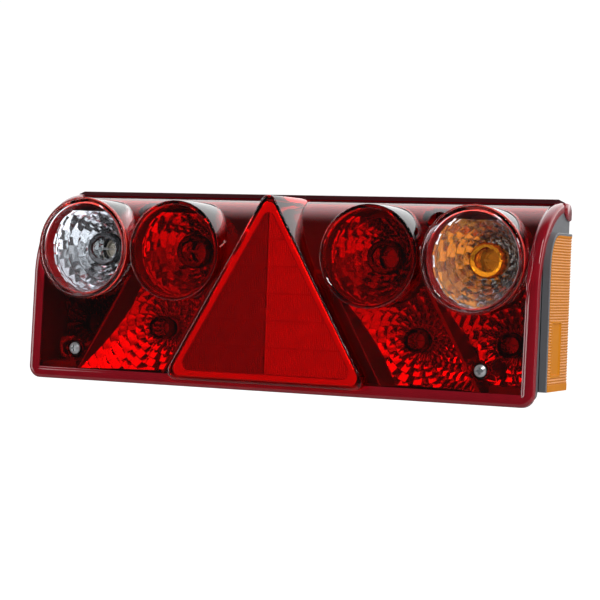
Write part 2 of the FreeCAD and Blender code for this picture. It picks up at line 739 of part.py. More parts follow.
def check_and_write():
    """Stop on any failed object, then write one STEP file for each sub-part."""
    doc.recompute()
    for item in doc.Objects:
        if "Invalid" in item.State or "Error" in item.State:
            raise RuntimeError(item.Name + " failed: " + str(item.State))
    os.makedirs("parts", exist_ok=True)
    for name, item in NODES.items():
        shape = item.Shape
        if shape.isNull() or not shape.isValid() or shape.Volume <= 0:
            raise RuntimeError(name + " has no valid shape")
        shape.exportStep("parts/" + name + ".step")
        print(name, len(shape.Solids), "solids", round(shape.Volume / 1000, 2), "cm3")
    print(len(NODES), "sub-parts")


build()
check_and_write()
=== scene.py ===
# %% [markdown]
# # A trailer tail light
# A long red acrylic lens is screwed onto a grey housing tray. Behind it sit mirrored
# reflectors, bulbs and a triangular reflex reflector, and an amber marker closes one end.
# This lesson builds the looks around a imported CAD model, which already holds every size.

# %% load the frame
import json
import math
import bmesh
import bpy
from mathutils import Matrix, Vector
from mathutils.geometry import delaunay_2d_cdt


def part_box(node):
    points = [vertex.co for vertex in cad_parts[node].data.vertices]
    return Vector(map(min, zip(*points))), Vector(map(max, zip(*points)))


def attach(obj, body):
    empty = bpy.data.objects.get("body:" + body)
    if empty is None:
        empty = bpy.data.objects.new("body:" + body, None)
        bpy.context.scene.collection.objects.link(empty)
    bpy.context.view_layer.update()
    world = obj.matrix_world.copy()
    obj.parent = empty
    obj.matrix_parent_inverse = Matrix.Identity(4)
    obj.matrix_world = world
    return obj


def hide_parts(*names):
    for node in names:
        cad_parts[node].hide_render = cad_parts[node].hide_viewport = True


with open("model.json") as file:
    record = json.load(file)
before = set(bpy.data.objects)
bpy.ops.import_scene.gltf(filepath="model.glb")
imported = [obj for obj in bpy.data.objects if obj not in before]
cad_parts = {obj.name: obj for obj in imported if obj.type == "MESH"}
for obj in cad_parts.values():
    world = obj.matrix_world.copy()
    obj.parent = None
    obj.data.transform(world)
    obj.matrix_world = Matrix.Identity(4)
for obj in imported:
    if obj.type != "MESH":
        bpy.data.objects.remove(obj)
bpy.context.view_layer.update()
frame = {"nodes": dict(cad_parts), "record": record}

# %% [markdown]
# ## One frame for everything
# The lamp is easiest to draw from its own foot: X along it from the middle, Y from the foot
# of the lens's front towards the vehicle, Z up from its lower edge, all in millimetres.
# `at` turns such a point into the CAD frame. Its two offsets come from the CAD boxes.

# %% case frame
MM = 0.001
LAMP_PROUD = 3.2                       # how far the round lenses stand in front of the foot
lens_low, lens_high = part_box("lens_body")
CASE_DEPTH = -lens_low[1] / MM - LAMP_PROUD
FOOT = -lens_low[2] / MM
LENGTH = (lens_high[0] - lens_low[0]) / MM
HALF = LENGTH / 2


def at(x, y, z):
    """A point of the case frame in metres of the CAD frame."""
    return Vector((x * MM, (y - CASE_DEPTH) * MM, (z - FOOT) * MM))


def axis_of(node):
    """X and Z of a turned node's axis, in the case frame."""
    low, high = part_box(node)
    return (low[0] + high[0]) / 2 / MM, (low[2] + high[2]) / 2 / MM + FOOT


ROUND = {n: axis_of("bulb_glass_" + n) for n in ("reversing", "stop", "tail", "indicator")}
LOW = {n: axis_of("bulb_glass_" + n) for n in ("fog", "position", "plate")}
print("length", round(LENGTH, 1), "depth", round(CASE_DEPTH, 1), "foot", round(FOOT, 1))

# %% [markdown]
# ## Colours and nodes
# Colours are written as the hex values seen on a screen. One function turns them to the
# linear values that the shader works in. One more adds any node with settings and links,
# which keeps every material below short enough to read as a recipe.

# %% colour and node helpers
def linear(hex_colour, alpha=1.0):
    """The linear colour of a hex value as seen on a screen."""
    parts = [int(hex_colour[i:i + 2], 16) / 255 for i in (1, 3, 5)]
    return [c / 12.92 if c <= 0.04045 else ((c + 0.055) / 1.055) ** 2.4 for c in parts] + [alpha]


def add_node(tree, kind, settings=None, inputs=None):
    """A node of a kind, with its properties, and its inputs as values or output sockets."""
    node = tree.nodes.new(kind)
    for key, value in (settings or {}).items():
        setattr(node, key, value)
    for key, value in (inputs or {}).items():
        if isinstance(value, bpy.types.NodeSocket):
            tree.links.new(value, node.inputs[key])
        else:
            node.inputs[key].default_value = value
    return node


def new_material(name):
    """A material with nothing but an output, its tree and that output."""
    material = bpy.data.materials.new(name)
    material.use_nodes = True
    tree = material.node_tree
    tree.nodes.clear()
    return material, tree, add_node(tree, "ShaderNodeOutputMaterial")


print("red", [round(v, 3) for v in linear("#e41008")])

# %% [markdown]
# ## Patterns in millimetres
# A moulded face is never quite even. A noise in object coordinates, scaled from a size in
# millimetres, gives each finish its grain, whatever the size of the piece that wears it.


# %% pattern helpers
def object_coords(tree, size_mm):
    """Object coordinates scaled so that one unit of a pattern is size_mm wide."""
    coords = add_node(tree, "ShaderNodeTexCoord")
    scale = 1 / (size_mm * MM)
    return add_node(tree, "ShaderNodeMapping", {}, {
        "Vector": coords.outputs["Object"], "Scale": (scale, scale, scale)}).outputs["Vector"]


def grain_bump(tree, size_mm, height_mm, strength=0.4, detail=3):
    """A fine noise as a bump of a real height."""
    noise = add_node(tree, "ShaderNodeTexNoise", {}, {
        "Vector": object_coords(tree, size_mm), "Scale": 1.0, "Detail": detail})
    return add_node(tree, "ShaderNodeBump", {}, {
        "Height": noise.outputs["Fac"], "Strength": strength, "Distance": height_mm * MM})


# %% [markdown]
# ## Three kinds of shader
# Solid plastic, metal and rubber share one recipe: two near colours mottled together, gloss
# that wanders a little, and a fine bump. Clear plastic bends light, and its shadow rays are
# let through with a tint, because the lamps could not light the inside otherwise. Blown
# glass is thinner than a millimetre and hardly bends light, so it only tints and glints.

# %% solid finishes
MOTTLE = 9.0                # size in mm of the clouds in which a colour wanders


def opaque(name, colour, roughness, metallic=0.0, coat=0.0, grain=(1.0, 0.01), colour_2=None,
           ior=1.5, rough_span=0.08):
    """A solid finish. grain is the size and height of its bump in mm."""
    material, tree, out = new_material(name)
    mottle = add_node(tree, "ShaderNodeTexNoise", {}, {
        "Vector": object_coords(tree, MOTTLE), "Scale": 1.0, "Detail": 4.0})
    ramp = add_node(tree, "ShaderNodeMix", {"data_type": "RGBA"}, {
        "Factor": mottle.outputs["Fac"], "A": linear(colour), "B": linear(colour_2 or colour)})
    gloss = add_node(tree, "ShaderNodeMapRange", {}, {
        "Value": mottle.outputs["Fac"], "To Min": roughness,
        "To Max": min(1.0, roughness + rough_span)})
    shader = add_node(tree, "ShaderNodeBsdfPrincipled", {}, {
        "Base Color": ramp.outputs["Result"], "Roughness": gloss.outputs["Result"],
        "Metallic": metallic, "Coat Weight": coat, "Coat Roughness": 0.05, "IOR": ior,
        "Normal": grain_bump(tree, *grain).outputs["Normal"]})
    tree.links.new(shader.outputs[0], out.inputs["Surface"])
    return material


# %% see-through plastic
def see_through(name, colour, shadow, roughness, ior, ripple):
    """Clear or tinted acrylic. shadow is the tint of the light that falls through it."""
    material, tree, out = new_material(name)
    shader = add_node(tree, "ShaderNodeBsdfPrincipled", {}, {
        "Base Color": linear(colour), "Roughness": roughness, "IOR": ior,
        "Transmission Weight": 1.0,
        "Normal": grain_bump(tree, ripple[0], ripple[1], 0.5, 1).outputs["Normal"]})
    passing = add_node(tree, "ShaderNodeBsdfTransparent", {}, {"Color": linear(shadow)})
    path = add_node(tree, "ShaderNodeLightPath")
    mix = add_node(tree, "ShaderNodeMixShader", {}, {
        0: path.outputs["Is Shadow Ray"], 1: shader.outputs[0], 2: passing.outputs[0]})
    tree.links.new(mix.outputs[0], out.inputs["Surface"])
    return material


# %% thin glass
def thin_glass(name, tint, gloss="#505050", body=0.0):
    """Blown glass too thin to bend light: it tints what is behind and glints at its edges.
    body is the share of light that the glass itself scatters."""
    material, tree, out = new_material(name)
    ripple = grain_bump(tree, 8.0, 0.01, 0.5, 1)
    passing = add_node(tree, "ShaderNodeBsdfTransparent", {}, {"Color": linear(tint)})
    shine = add_node(tree, "ShaderNodeBsdfGlossy", {}, {
        "Color": linear(gloss), "Roughness": 0.02, "Normal": ripple.outputs["Normal"]})
    edge = add_node(tree, "ShaderNodeFresnel", {}, {"IOR": 1.5, "Normal": ripple.outputs["Normal"]})
    coat = add_node(tree, "ShaderNodeBsdfDiffuse", {}, {"Color": linear(gloss)})
    tinted = add_node(tree, "ShaderNodeMixShader", {}, {
        0: body, 1: passing.outputs[0], 2: coat.outputs[0]})
    mix = add_node(tree, "ShaderNodeMixShader", {}, {
        0: edge.outputs["Fac"], 1: tinted.outputs[0], 2: shine.outputs[0]})
    tree.links.new(mix.outputs[0], out.inputs["Surface"])
    return material


# %% [markdown]
# ## Acrylic and glass
# The lens is injection-moulded acrylic (PMMA, IOR 1.49) from a polished mould, coloured in
# the mass. The bulbs are blown soda glass. Long shallow ripples, 30 mm apart and a few
# hundredths high, keep the moulded faces from looking machine-flat.

# %% acrylic and glass
RIPPLE = (30.0, 0.02)
# Deep red lens: what lies behind it shows only in reds, and shadows turn dark red.
RED = see_through("pmma_deep_red", "#e41008", "#8c1008", 0.01, 1.49, RIPPLE)
# Reflex cover: as red, but it lets more light down to its prisms, so the triangle glows.
REFLEX_RED = see_through("pmma_reflex_red", "#ee1008", "#ff5040", 0.01, 1.49, RIPPLE)
# Clear lens over the white and the amber lamp: only edges and glints show that it is there.
CLEAR = see_through("pmma_clear", "#fbfbfd", "#ffffff", 0.008, 1.49, RIPPLE)
# Clear bulb: nearly invisible, with a dark rim and a small highlight.
GLASS = thin_glass("soda_glass_clear", "#e9ebea")
# Amber bulb: tints the mirror behind it and warms everything that reflects it.
AMBER_GLASS = thin_glass("soda_glass_amber", "#f6bc60", "#c07414", 0.16)
print("see-through", [m.name for m in (RED, REFLEX_RED, CLEAR, GLASS, AMBER_GLASS)])

# %% [markdown]
# ## Red parts that look solid
# Where red acrylic is thick, or backed by more of itself, no light comes back through it.
# Such parts are quicker and cleaner as solid colours under a clear gloss.

# %% solid reds
# Rim and ear: thick polished edge, maroon in the middle and sharp in its highlights.
RIM_RED = opaque("pmma_red_solid_rim", "#a00e20", 0.05, coat=0.5, grain=RIPPLE,
                 colour_2="#860a1a", ior=1.49, rough_span=0.02)
# Lining: the inside of a barrel, seen through its clear front.
LINING_RED = opaque("pmma_red_lining", "#8e060a", 0.12, coat=0.4, grain=(12.0, 0.02),
                    colour_2="#6a0408", ior=1.49)
# Top lip: the red acrylic painted much darker and matt, as painted shade, so it stays a dark line
# beside the bright crown.
LIP_RED = opaque("pmma_red_matt_lip_painted_dark", "#480812", 0.4, grain=(4.0, 0.02), colour_2="#3a060e",
                 ior=1.4)
# Reflex prisms: half metal, as prisms mirror what they see. This right half is painted lighter than
# the left, as painted light.
PRISM_RED = opaque("pmma_red_prisms", "#c00c0e", 0.2, 0.4, grain=(1.2, 0.01),
                   colour_2="#a8080a", ior=1.49)
# The left half: the same prism red painted darker, as painted shade. Its prisms also lean the other
# way.
PRISM_PAINTED_SHADE = opaque("pmma_red_prisms_painted_shade", "#8a080a", 0.25, 0.4, grain=(1.2, 0.01),
                     colour_2="#760608", ior=1.49)
# Border of the triangle: plain and thick, brighter than the prisms inside it.
BORDER_RED = opaque("pmma_red_plain_border", "#b8080c", 0.2, grain=(12.0, 0.01),
                    colour_2="#a8060a", ior=1.49)
print("solid reds", [m.name for m in (RIM_RED, LINING_RED, LIP_RED, PRISM_RED, BORDER_RED)])

# %% [markdown]
# ## Reflectors
# The trays are ABS with a vacuum coat of aluminium under lacquer. The lacquer scatters a
# little, so the coat is not fully metallic. Slanted walls come out of the mould less
# polished, and the tray that holds no lamp was left black.

# %% reflector finishes
# Pillows: a bright mirror that glitters.
MIRROR = opaque("abs_vacuum_aluminised", "#f6f7f9", 0.05, 0.92, grain=(0.9, 0.003),
                colour_2="#eceef1", rough_span=0.05)
# Walls: grey and soft, so that they part the chambers without glitter.
SATIN_MIRROR = opaque("abs_aluminised_satin_walls", "#8c8e92", 0.34, 0.8, grain=(0.9, 0.006),
                      colour_2="#7c7e83")
# Unlit tray: nearly black, with a faint gleam on its pillows.
BLANK = opaque("abs_black_unplated", "#2c1214", 0.14, 0.3, grain=(0.9, 0.01), colour_2="#221012")
print("reflector finishes", MIRROR.name, SATIN_MIRROR.name, BLANK.name)

# %% [markdown]
# ## Housing, marker and small parts
# The housing is moulded ABS from a spark-eroded mould, which leaves a satin grain of half a
# millimetre. Bulb holders and the inlet are glass-filled nylon, seals are EPDM rubber,
# screws are zinc-plated steel, bulb caps nickel-plated brass, contacts bare stamped brass.

# %% housing, marker and small parts
# Housing: mid grey, no sharp highlight anywhere.
GREY_ABS = opaque("abs_satin_grey", "#747578", 0.42, grain=(0.5, 0.02), colour_2="#6c6d70",
                  ior=1.53)
# Nylon: black, with a dull gleam from the glass fibre near its surface.
BLACK_NYLON = opaque("nylon_black_glassfilled", "#17181a", 0.38, grain=(0.6, 0.02),
                     colour_2="#101113", ior=1.53)
# Rubber: the dullest black of the lamp.
RUBBER = opaque("epdm_moulded", "#1d1d1e", 0.62, grain=(0.5, 0.03), colour_2="#141415")
# Marker: amber acrylic made opaque by its ribs. A low IOR keeps their flanks from whitening.
AMBER = opaque("pmma_amber_ribbed", "#d8861c", 0.3, grain=(6.0, 0.01),
               colour_2="#cf7c12", ior=1.2)
# Zinc: pale silver, softened by the grain of the plating.
ZINC = opaque("steel_zinc_plated", "#d4d6d8", 0.3, 0.7, grain=(0.7, 0.01), colour_2="#c4c7ca")
# Nickel: a warmer, duller silver.
NICKEL = opaque("brass_nickel_plated", "#b9b2a2", 0.24, 1.0, grain=(0.8, 0.008),
                colour_2="#9e978a")
# Brass: yellow metal with the burnish of the press tool.
BRASS = opaque("brass_stamped", "#c9a052", 0.3, 1.0, grain=(0.6, 0.01), colour_2="#a9823d")
print("materials", len(bpy.data.materials))

# %% [markdown]
# ## Making a piece
# Every piece is a mesh built from points in the case frame. `piece` makes the object, gives
# it a finish, lets it ride on its CAD body, and hides the CAD node that it stands for.
# Faces are smooth up to a chosen angle and sharp beyond it, as on a moulding.


# %% piece maker
def piece(name, points, faces, material, body, slot, replaced=(), sharp=35.0):
    """A piece from points in the case frame, with its doubled points joined."""
    mesh = bpy.data.meshes.new(name)
    mesh.from_pydata([at(*p) for p in points], [], faces)
    mesh.validate()
    work = bmesh.new()
    work.from_mesh(mesh)
    bmesh.ops.remove_doubles(work, verts=work.verts, dist=2e-6)
    work.to_mesh(mesh)
    work.free()
    return finish_piece(name, mesh, material, body, replaced, sharp)


def finish_piece(name, mesh, material, body, replaced=(), sharp=35.0):
    """The object of a mesh: its finish, its edges, its body and the nodes it stands for."""
    item = bpy.data.objects.new(name, mesh)
    bpy.context.scene.collection.objects.link(item)
    mesh.materials.append(material)
    for face in mesh.polygons:
        face.use_smooth = True
    mesh.set_sharp_from_angle(angle=math.radians(sharp))
    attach(item, body)
    for node in replaced:
        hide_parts(node)
    return item


# %% [markdown]
# ## Skins from loops
# Most parts of the lamp are turned or drawn along a path. Modifiers could do either, but a
# list of loops joined by faces does both, and keeps the points where the sizes say.


# %% loops and lathes
def bridge(loops, closed=True, caps=(False, False)):
    """Points and faces of a skin between loops of equal length."""
    count = len(loops[0])
    points = [p for loop in loops for p in loop]
    faces = []
    for i in range(len(loops) - 1):
        for j in range(count if closed else count - 1):
            k = (j + 1) % count
            faces.append((i * count + j, i * count + k, (i + 1) * count + k, (i + 1) * count + j))
    if caps[0]:
        faces.append(tuple(reversed(range(count))))
    if caps[1]:
        faces.append(tuple(range((len(loops) - 1) * count, len(loops) * count)))
    return points, faces


def ring(radius, y, x, z, steps):
    """A circle of points about an axis along Y."""
    return [(x + radius * math.cos(2 * math.pi * i / steps), y,
             z + radius * math.sin(2 * math.pi * i / steps)) for i in range(steps)]


def lathe(profile, x, z, steps=64):
    """A skin turned about Y from (radius, y) pairs."""
    return bridge([ring(max(r, 0.001), y, x, z, steps) for r, y in profile])


def join(*parts):
    """Several (points, faces) pairs as one."""
    points = []
    faces = []
    for some_points, some_faces in parts:
        start = len(points)
        points += some_points
        faces += [tuple(i + start for i in face) for face in some_faces]
    return points, faces


# %% [markdown]
# ## The lens section
# Seen from the end, the lens rises almost upright, bends back in one large arc and ends
# flat under a small lip. `section` walks along that line: given a distance from the foot it
# returns the point and the outward normal. Everything on the lens is drawn in (x, distance).

# %% lens section
SHOULDER = (3.0, 75.0)      # Y and Z where the arc begins
CROWN = (60.0, 138.8)       # Y and Z where it ends
ARC = 64.25
LENS_REAR = 63.0

chord = (CROWN[0] - SHOULDER[0], CROWN[1] - SHOULDER[1])
chord_length = math.hypot(*chord)
sag = math.sqrt(ARC ** 2 - chord_length ** 2 / 4)
ARC_CENTRE = ((SHOULDER[0] + CROWN[0]) / 2 + chord[1] / chord_length * sag,
              (SHOULDER[1] + CROWN[1]) / 2 - chord[0] / chord_length * sag)
ARC_START = math.atan2(SHOULDER[1] - ARC_CENTRE[1], SHOULDER[0] - ARC_CENTRE[0])
ARC_TURN = 2 * math.asin(chord_length / 2 / ARC)
FRONT_RUN = math.hypot(*SHOULDER)
ARC_RUN = ARC * ARC_TURN
TOTAL_RUN = FRONT_RUN + ARC_RUN + LENS_REAR - CROWN[0]
print("arc centre", [round(v, 2) for v in ARC_CENTRE], "developed height", round(TOTAL_RUN, 1))


# %% walk along the section
def section(run):
    """Y, Z and the outward normal (in Y, Z) at a distance along the lens section."""
    if run <= FRONT_RUN:
        t = run / FRONT_RUN
        lean = Vector((-SHOULDER[1], SHOULDER[0])).normalized()
        return SHOULDER[0] * t, SHOULDER[1] * t, lean
    if run <= FRONT_RUN + ARC_RUN:
        angle = ARC_START - (run - FRONT_RUN) / ARC
        out = Vector((math.cos(angle), math.sin(angle)))
        return ARC_CENTRE[0] + ARC * out.x, ARC_CENTRE[1] + ARC * out.y, out
    return CROWN[0] + run - FRONT_RUN - ARC_RUN, CROWN[1], Vector((-0.1, 1)).normalized()


def run_at(z, sink=0.0):
    """Distance along the section at which the sunk lens surface reaches a height."""
    low, high = 0.0, FRONT_RUN + ARC_RUN
    for _ in range(40):
        middle = (low + high) / 2
        y, height, out = section(middle)
        if height - out.y * sink < z:
            low = middle
        else:
            high = middle
    return low


def on_lens(x, run, height=0.0):
    """A point height above the lens surface."""
    y, z, out = section(min(max(run, 0.0), TOTAL_RUN))
    below = min(run, 0.0)
    above = max(run - TOTAL_RUN, 0.0)
    return (x, y + out.x * height + above, max(z + out.y * height, 0.0) + below)


def front_y(z, sink):
    """Y of the sunk lens field at a height."""
    return on_lens(0, run_at(z, sink), -sink)[1]


print("front of the lens at 100 mm", round(front_y(100.0, 0.0), 1))

# %% [markdown]
# ## Red lens body
# The lens has a raised rounded rim and a slightly sunk field, with windows for the round
# lenses and the triangle. A boolean would leave messy edges on a curved sheet, so the sheet
# is triangulated flat, in (x, distance), with its windows as constraints, and then bent.
# The rim is a stack of loops, each a rounded rectangle with its own height.
# First come the sizes, taken from the CAD boxes wherever a box shows them.

# %% lens sizes
FIELD_SINK = 1.3            # the field lies this far behind the rim
RIM = {"side": 8.5, "top": 3.6}
CORNER = 9.0                # outer corner radius
WALL = 2.3
lamp_low, lamp_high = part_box("reversing_lens")
LAMP_RADIUS = (lamp_high[0] - lamp_low[0]) / 2 / MM
TRI_LOW, TRI_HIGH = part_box("triangle_reflector")
TRI_FRONT = TRI_LOW[1] / MM + CASE_DEPTH
TRI_BASE = TRI_LOW[2] / MM + FOOT
TRI_ROUND = 6.0
TRI_SIDE = (TRI_HIGH[0] - TRI_LOW[0]) / MM + 2 * TRI_ROUND * (math.sqrt(3) - 1)
TRI_IN = TRI_SIDE / (2 * math.sqrt(3))                     # from a side to the middle
TRI_MIDDLE = TRI_BASE + TRI_IN
print("triangle side", round(TRI_SIDE, 1), "lamp radius", round(LAMP_RADIUS, 1))


# %% rim outline
def rounded_rectangle(x0, x1, y0, y1, radius, per_corner=7, per_side=(60, 24)):
    """Points around a rounded rectangle, the same number whatever its size."""
    points = []
    corners = [(x1 - radius, y0 + radius, -90), (x1 - radius, y1 - radius, 0),
               (x0 + radius, y1 - radius, 90), (x0 + radius, y0 + radius, 180)]
    for number, (cx, cy, start) in enumerate(corners):
        arc = []
        for i in range(per_corner + 1):
            a = math.radians(start + 90 * i / per_corner)
            arc.append((cx + radius * math.cos(a), cy + radius * math.sin(a)))
        points += arc
        after = corners[(number + 1) % 4]
        a = math.radians(after[2])
        target = (after[0] + radius * math.cos(a), after[1] + radius * math.sin(a))
        steps = per_side[(number + 1) % 2]
        for i in range(1, steps):
            t = i / steps
            points.append((arc[-1][0] + (target[0] - arc[-1][0]) * t,
                           arc[-1][1] + (target[1] - arc[-1][1]) * t))
    return points


def rim_loop(t, height):
    """A loop of the rim: t runs from 0 at the outer edge to 1 at the field."""
    side = RIM["side"] * t
    flat = rounded_rectangle(-HALF + side, HALF - side, side, TOTAL_RUN - RIM["top"] * t,
                             max(CORNER - side, 1.2))
    return [on_lens(x, run, height) for x, run in flat], flat


# %% [markdown]
# ## Window outlines
# The triangle is equilateral with rounded corners, the lamps and screw wells are circles.
# Long straight sides are divided, because only points can follow the bend of the lens.


# %% window outlines
def triangle_outline(inset, steps=8):
    """The rounded triangle in (x, z), from its lower right corner, anticlockwise."""
    side = TRI_SIDE - 2 * math.sqrt(3) * inset
    base = TRI_BASE + inset
    corners = [(side / 2, base), (0, base + side * math.sqrt(3) / 2), (-side / 2, base)]
    radius = max(TRI_ROUND - inset, 0.8)
    middle = (0, base + side / (2 * math.sqrt(3)))
    points = []
    for number, (cx, cz) in enumerate(corners):
        way = Vector((middle[0] - cx, middle[1] - cz)).normalized() * 2 * radius
        start = -90 + 120 * number
        for i in range(steps + 1):
            a = math.radians(start + 120 * i / steps)
            points.append((cx + way.x + radius * math.cos(a), cz + way.y + radius * math.sin(a)))
    return points


def split_edges(outline, longest):
    """The outline with long straight edges divided, so that it can bend with the lens."""
    result = []
    for i, start in enumerate(outline):
        end = outline[(i + 1) % len(outline)]
        steps = max(1, math.ceil(math.dist(start, end) / longest))
        result += [(start[0] + (end[0] - start[0]) * k / steps,
                    start[1] + (end[1] - start[1]) * k / steps) for k in range(steps)]
    return result


def circle_outline(x, z, radius, steps=96):
    """A circle in (x, z)."""
    return [(x + radius * math.cos(2 * math.pi * i / steps),
             z + radius * math.sin(2 * math.pi * i / steps)) for i in range(steps)]


SCREW = {n: axis_of("screw_" + n)
         for n in ("upper_left", "upper_right", "lower_left", "lower_right")}
WELL = 5.6                  # radius of the funnel round a lens screw
windows = [circle_outline(x, z, LAMP_RADIUS) for x, z in ROUND.values()]
windows.append(split_edges(triangle_outline(0.0), 4.0))
windows += [circle_outline(x, z, WELL, 40) for x, z in SCREW.values()]
print("windows", len(windows))

# %% [markdown]
# ## Bending the field
# Blender's constrained Delaunay triangulation fills the flat sheet between its edge and its
# windows. Points strewn on a grid keep the triangles small enough to bend smoothly. What
# falls inside a window is dropped, and every point is then lifted onto the lens section.

# %% bend the field
MARGIN = 12.0               # no grid points nearer than this to the ends
GRID = (6.0, 4.0)           # spacing of the grid along the lamp and up the section


def inside(point, outline):
    """Whether a point lies in a closed outline: an odd number of edges to its right."""
    hit = False
    for i, (x1, y1) in enumerate(outline):
        x2, y2 = outline[i - 1]
        if (y1 > point[1]) != (y2 > point[1]):
            if point[0] < (x2 - x1) * (point[1] - y1) / (y2 - y1) + x1:
                hit = not hit
    return hit


def lens_field(boundary):
    """Points and faces of the sunk field between its boundary and the windows."""
    holes = [[(x, run_at(z, FIELD_SINK)) for x, z in window] for window in windows]
    points = list(boundary)
    edges = [(i, (i + 1) % len(boundary)) for i in range(len(boundary))]
    for hole in holes:
        start = len(points)
        points += hole
        edges += [(start + i, start + (i + 1) % len(hole)) for i in range(len(hole))]
    run = MARGIN
    while run < TOTAL_RUN - MARGIN / 2:
        x = -HALF + MARGIN
        while x < HALF - MARGIN:
            if not any(inside((x, run), hole) for hole in holes):
                points.append((x, run))
            x += GRID[0]
        run += GRID[1]
    found = delaunay_2d_cdt([Vector(p) for p in points], edges, [], 0, 1e-5)
    flat, triangles = found[0], found[2]
    kept = []
    for tri in triangles:
        middle = [sum(flat[i][k] for i in tri) / len(tri) for k in (0, 1)]
        if inside(middle, boundary) and not any(inside(middle, hole) for hole in holes):
            kept.append(tuple(tri))
    return [on_lens(p[0], p[1], -FIELD_SINK) for p in flat], kept


# %% [markdown]
# ## Rim, field and wells
# The rim starts as a flange over the housing, swells into a soft bead and steps down to the
# field. It is thick and reads as solid maroon, so it is a piece of its own. Both get their
# wall from a solidify modifier without a rim, as they meet edge to edge.

# %% rim, field and wells
# outer flange, bead and the step down to the field, as (share of the way in, height)
RIM_STEPS = [(0.0, -6.0), (0.0, -2.6), (0.02, -1.5), (0.07, -0.75), (0.16, -0.25), (0.3, 0.0),
             (0.45, 0.05), (0.62, -0.05), (0.76, -0.35), (0.86, -0.8), (0.93, -1.15),
             (1.0, -FIELD_SINK)]
rim_loops = [rim_loop(t, h) for t, h in RIM_STEPS]
rim_skin = bridge([loop for loop, _ in rim_loops])
field_skin = lens_field(rim_loops[-1][1])
HEAD_HEIGHT = 4.1           # from the front of a screw to its seat
SHANK_HOLE = 2.4


def well(name):
    """The funnel from the field back to the seat of a lens screw."""
    x, z = SCREW[name]
    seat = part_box("screw_" + name)[0][1] / MM + CASE_DEPTH + HEAD_HEIGHT
    outline = circle_outline(x, z, WELL, 40)
    top = [(px, front_y(pz, FIELD_SINK), pz) for px, pz in outline]
    floor = [(px, seat, pz) for px, pz in outline]
    hole = [(px, seat, pz) for px, pz in circle_outline(x, z, SHANK_HOLE, 40)]
    return bridge([top, floor, hole])


lens_points, lens_faces = join(field_skin, *[well(n) for n in SCREW])
red_lens = piece("red_lens_shell", lens_points, lens_faces, RED, "lens", "red_plastic",
                 ["lens_body"], sharp=50)
rim = piece("lens_rim", *rim_skin, RIM_RED, "lens", "red_plastic", sharp=50)
for item in (red_lens, rim):
    skin = item.modifiers.new("wall", "SOLIDIFY")
    skin.thickness = WALL * MM
    skin.offset = -1
    skin.use_rim = False
print("lens shell", len(lens_faces), "faces")


# %% [markdown]
# ## Top lip and end ear
# Behind the crown a small lip stands up along the whole lens and hooks over the housing.
# At the marker's end the rim runs on into a rounded ear. Both are outlines carried along X,
# the simplest way for a part with one section.

# %% top lip
LIP_FRONT = 60.5
LIP_LOW = 138.0
LIP_HIGH = 141.2
LIP_TURN = 4.0              # length over which each end is rounded down


def top_lip():
    """The strip that stands up along the rear edge of the lens, its two ends rounded off."""
    steps = 60
    loops = []
    for i in range(steps + 1):
        x = -HALF + LENGTH * i / steps
        near_end = max(0.0, 1 - (HALF - abs(x)) / LIP_TURN)
        rise = (LIP_HIGH - LIP_LOW) * math.sqrt(max(1 - near_end ** 2, 0.0))
        top = LIP_LOW + rise
        soft = 0.2 if rise > 0.3 else 0.0
        loops.append([(x, LIP_FRONT - 1.2, LIP_LOW), (x, LIP_FRONT, LIP_LOW + rise * 0.6),
                      (x, LIP_FRONT + 0.5, top - soft), (x, LENS_REAR - 0.3, top),
                      (x, LENS_REAR, LIP_LOW)])
    return bridge(loops, caps=(True, True))


piece("lens_top_lip", *top_lip(), LIP_RED, "lens", "red_plastic", sharp=50)
print("lip", LIP_FRONT, "to", LENS_REAR, "top", LIP_HIGH)

# %% end ear
EAR_RADIUS = 8.0
EAR_CENTRE = (66.0, 130.8)  # Y and Z of the round corner
EAR_MIDDLE = (66.0, 132.5)  # Y and Z about which its outer face shrinks
EAR_UNDER = [(73.6, 127.0), (70.0, 126.2), (64.0, 128.0), (59.0, 132.0)]


def end_ear():
    """The rounded ear that carries the rim over the rear upper corner of the housing."""
    outline = [(57.0, 138.6), (EAR_CENTRE[0], EAR_CENTRE[1] + EAR_RADIUS)]
    for i in range(1, 8):
        a = math.radians(90 - 90 * i / 7)
        outline.append((EAR_CENTRE[0] + EAR_RADIUS * math.cos(a),
                        EAR_CENTRE[1] + EAR_RADIUS * math.sin(a)))
    outline += EAR_UNDER
    loops = []
    for x, shrink in ((HALF - 1.4, 1.0), (HALF - 0.5, 1.0), (HALF, 0.93)):
        loops.append([(x, EAR_MIDDLE[0] + (y - EAR_MIDDLE[0]) * shrink,
                       EAR_MIDDLE[1] + (z - EAR_MIDDLE[1]) * shrink) for y, z in outline])
    return bridge(loops, caps=(True, True))


piece("lens_ear", *end_ear(), RIM_RED, "lens", "red_plastic", sharp=50)
print("ear radius", EAR_RADIUS)

# %% [markdown]
# ## Round lenses
# Each round lens is a barrel with a flat front, standing out of the curved sheet until the
# sheet has curved back past it. Two are clear, two are as red as the body. A ring moulded
# into the front edge is what catches the light, so the edge gets a small real radius.

# %% round lenses
BARREL_WALL = 2.4
EDGE = 1.1                  # radius of the front edge
RING_IN = (2.6, 3.0)        # the moulded ring ends this far inside the edge
DISH_IN = 0.35              # how far the front lies back inside the ring


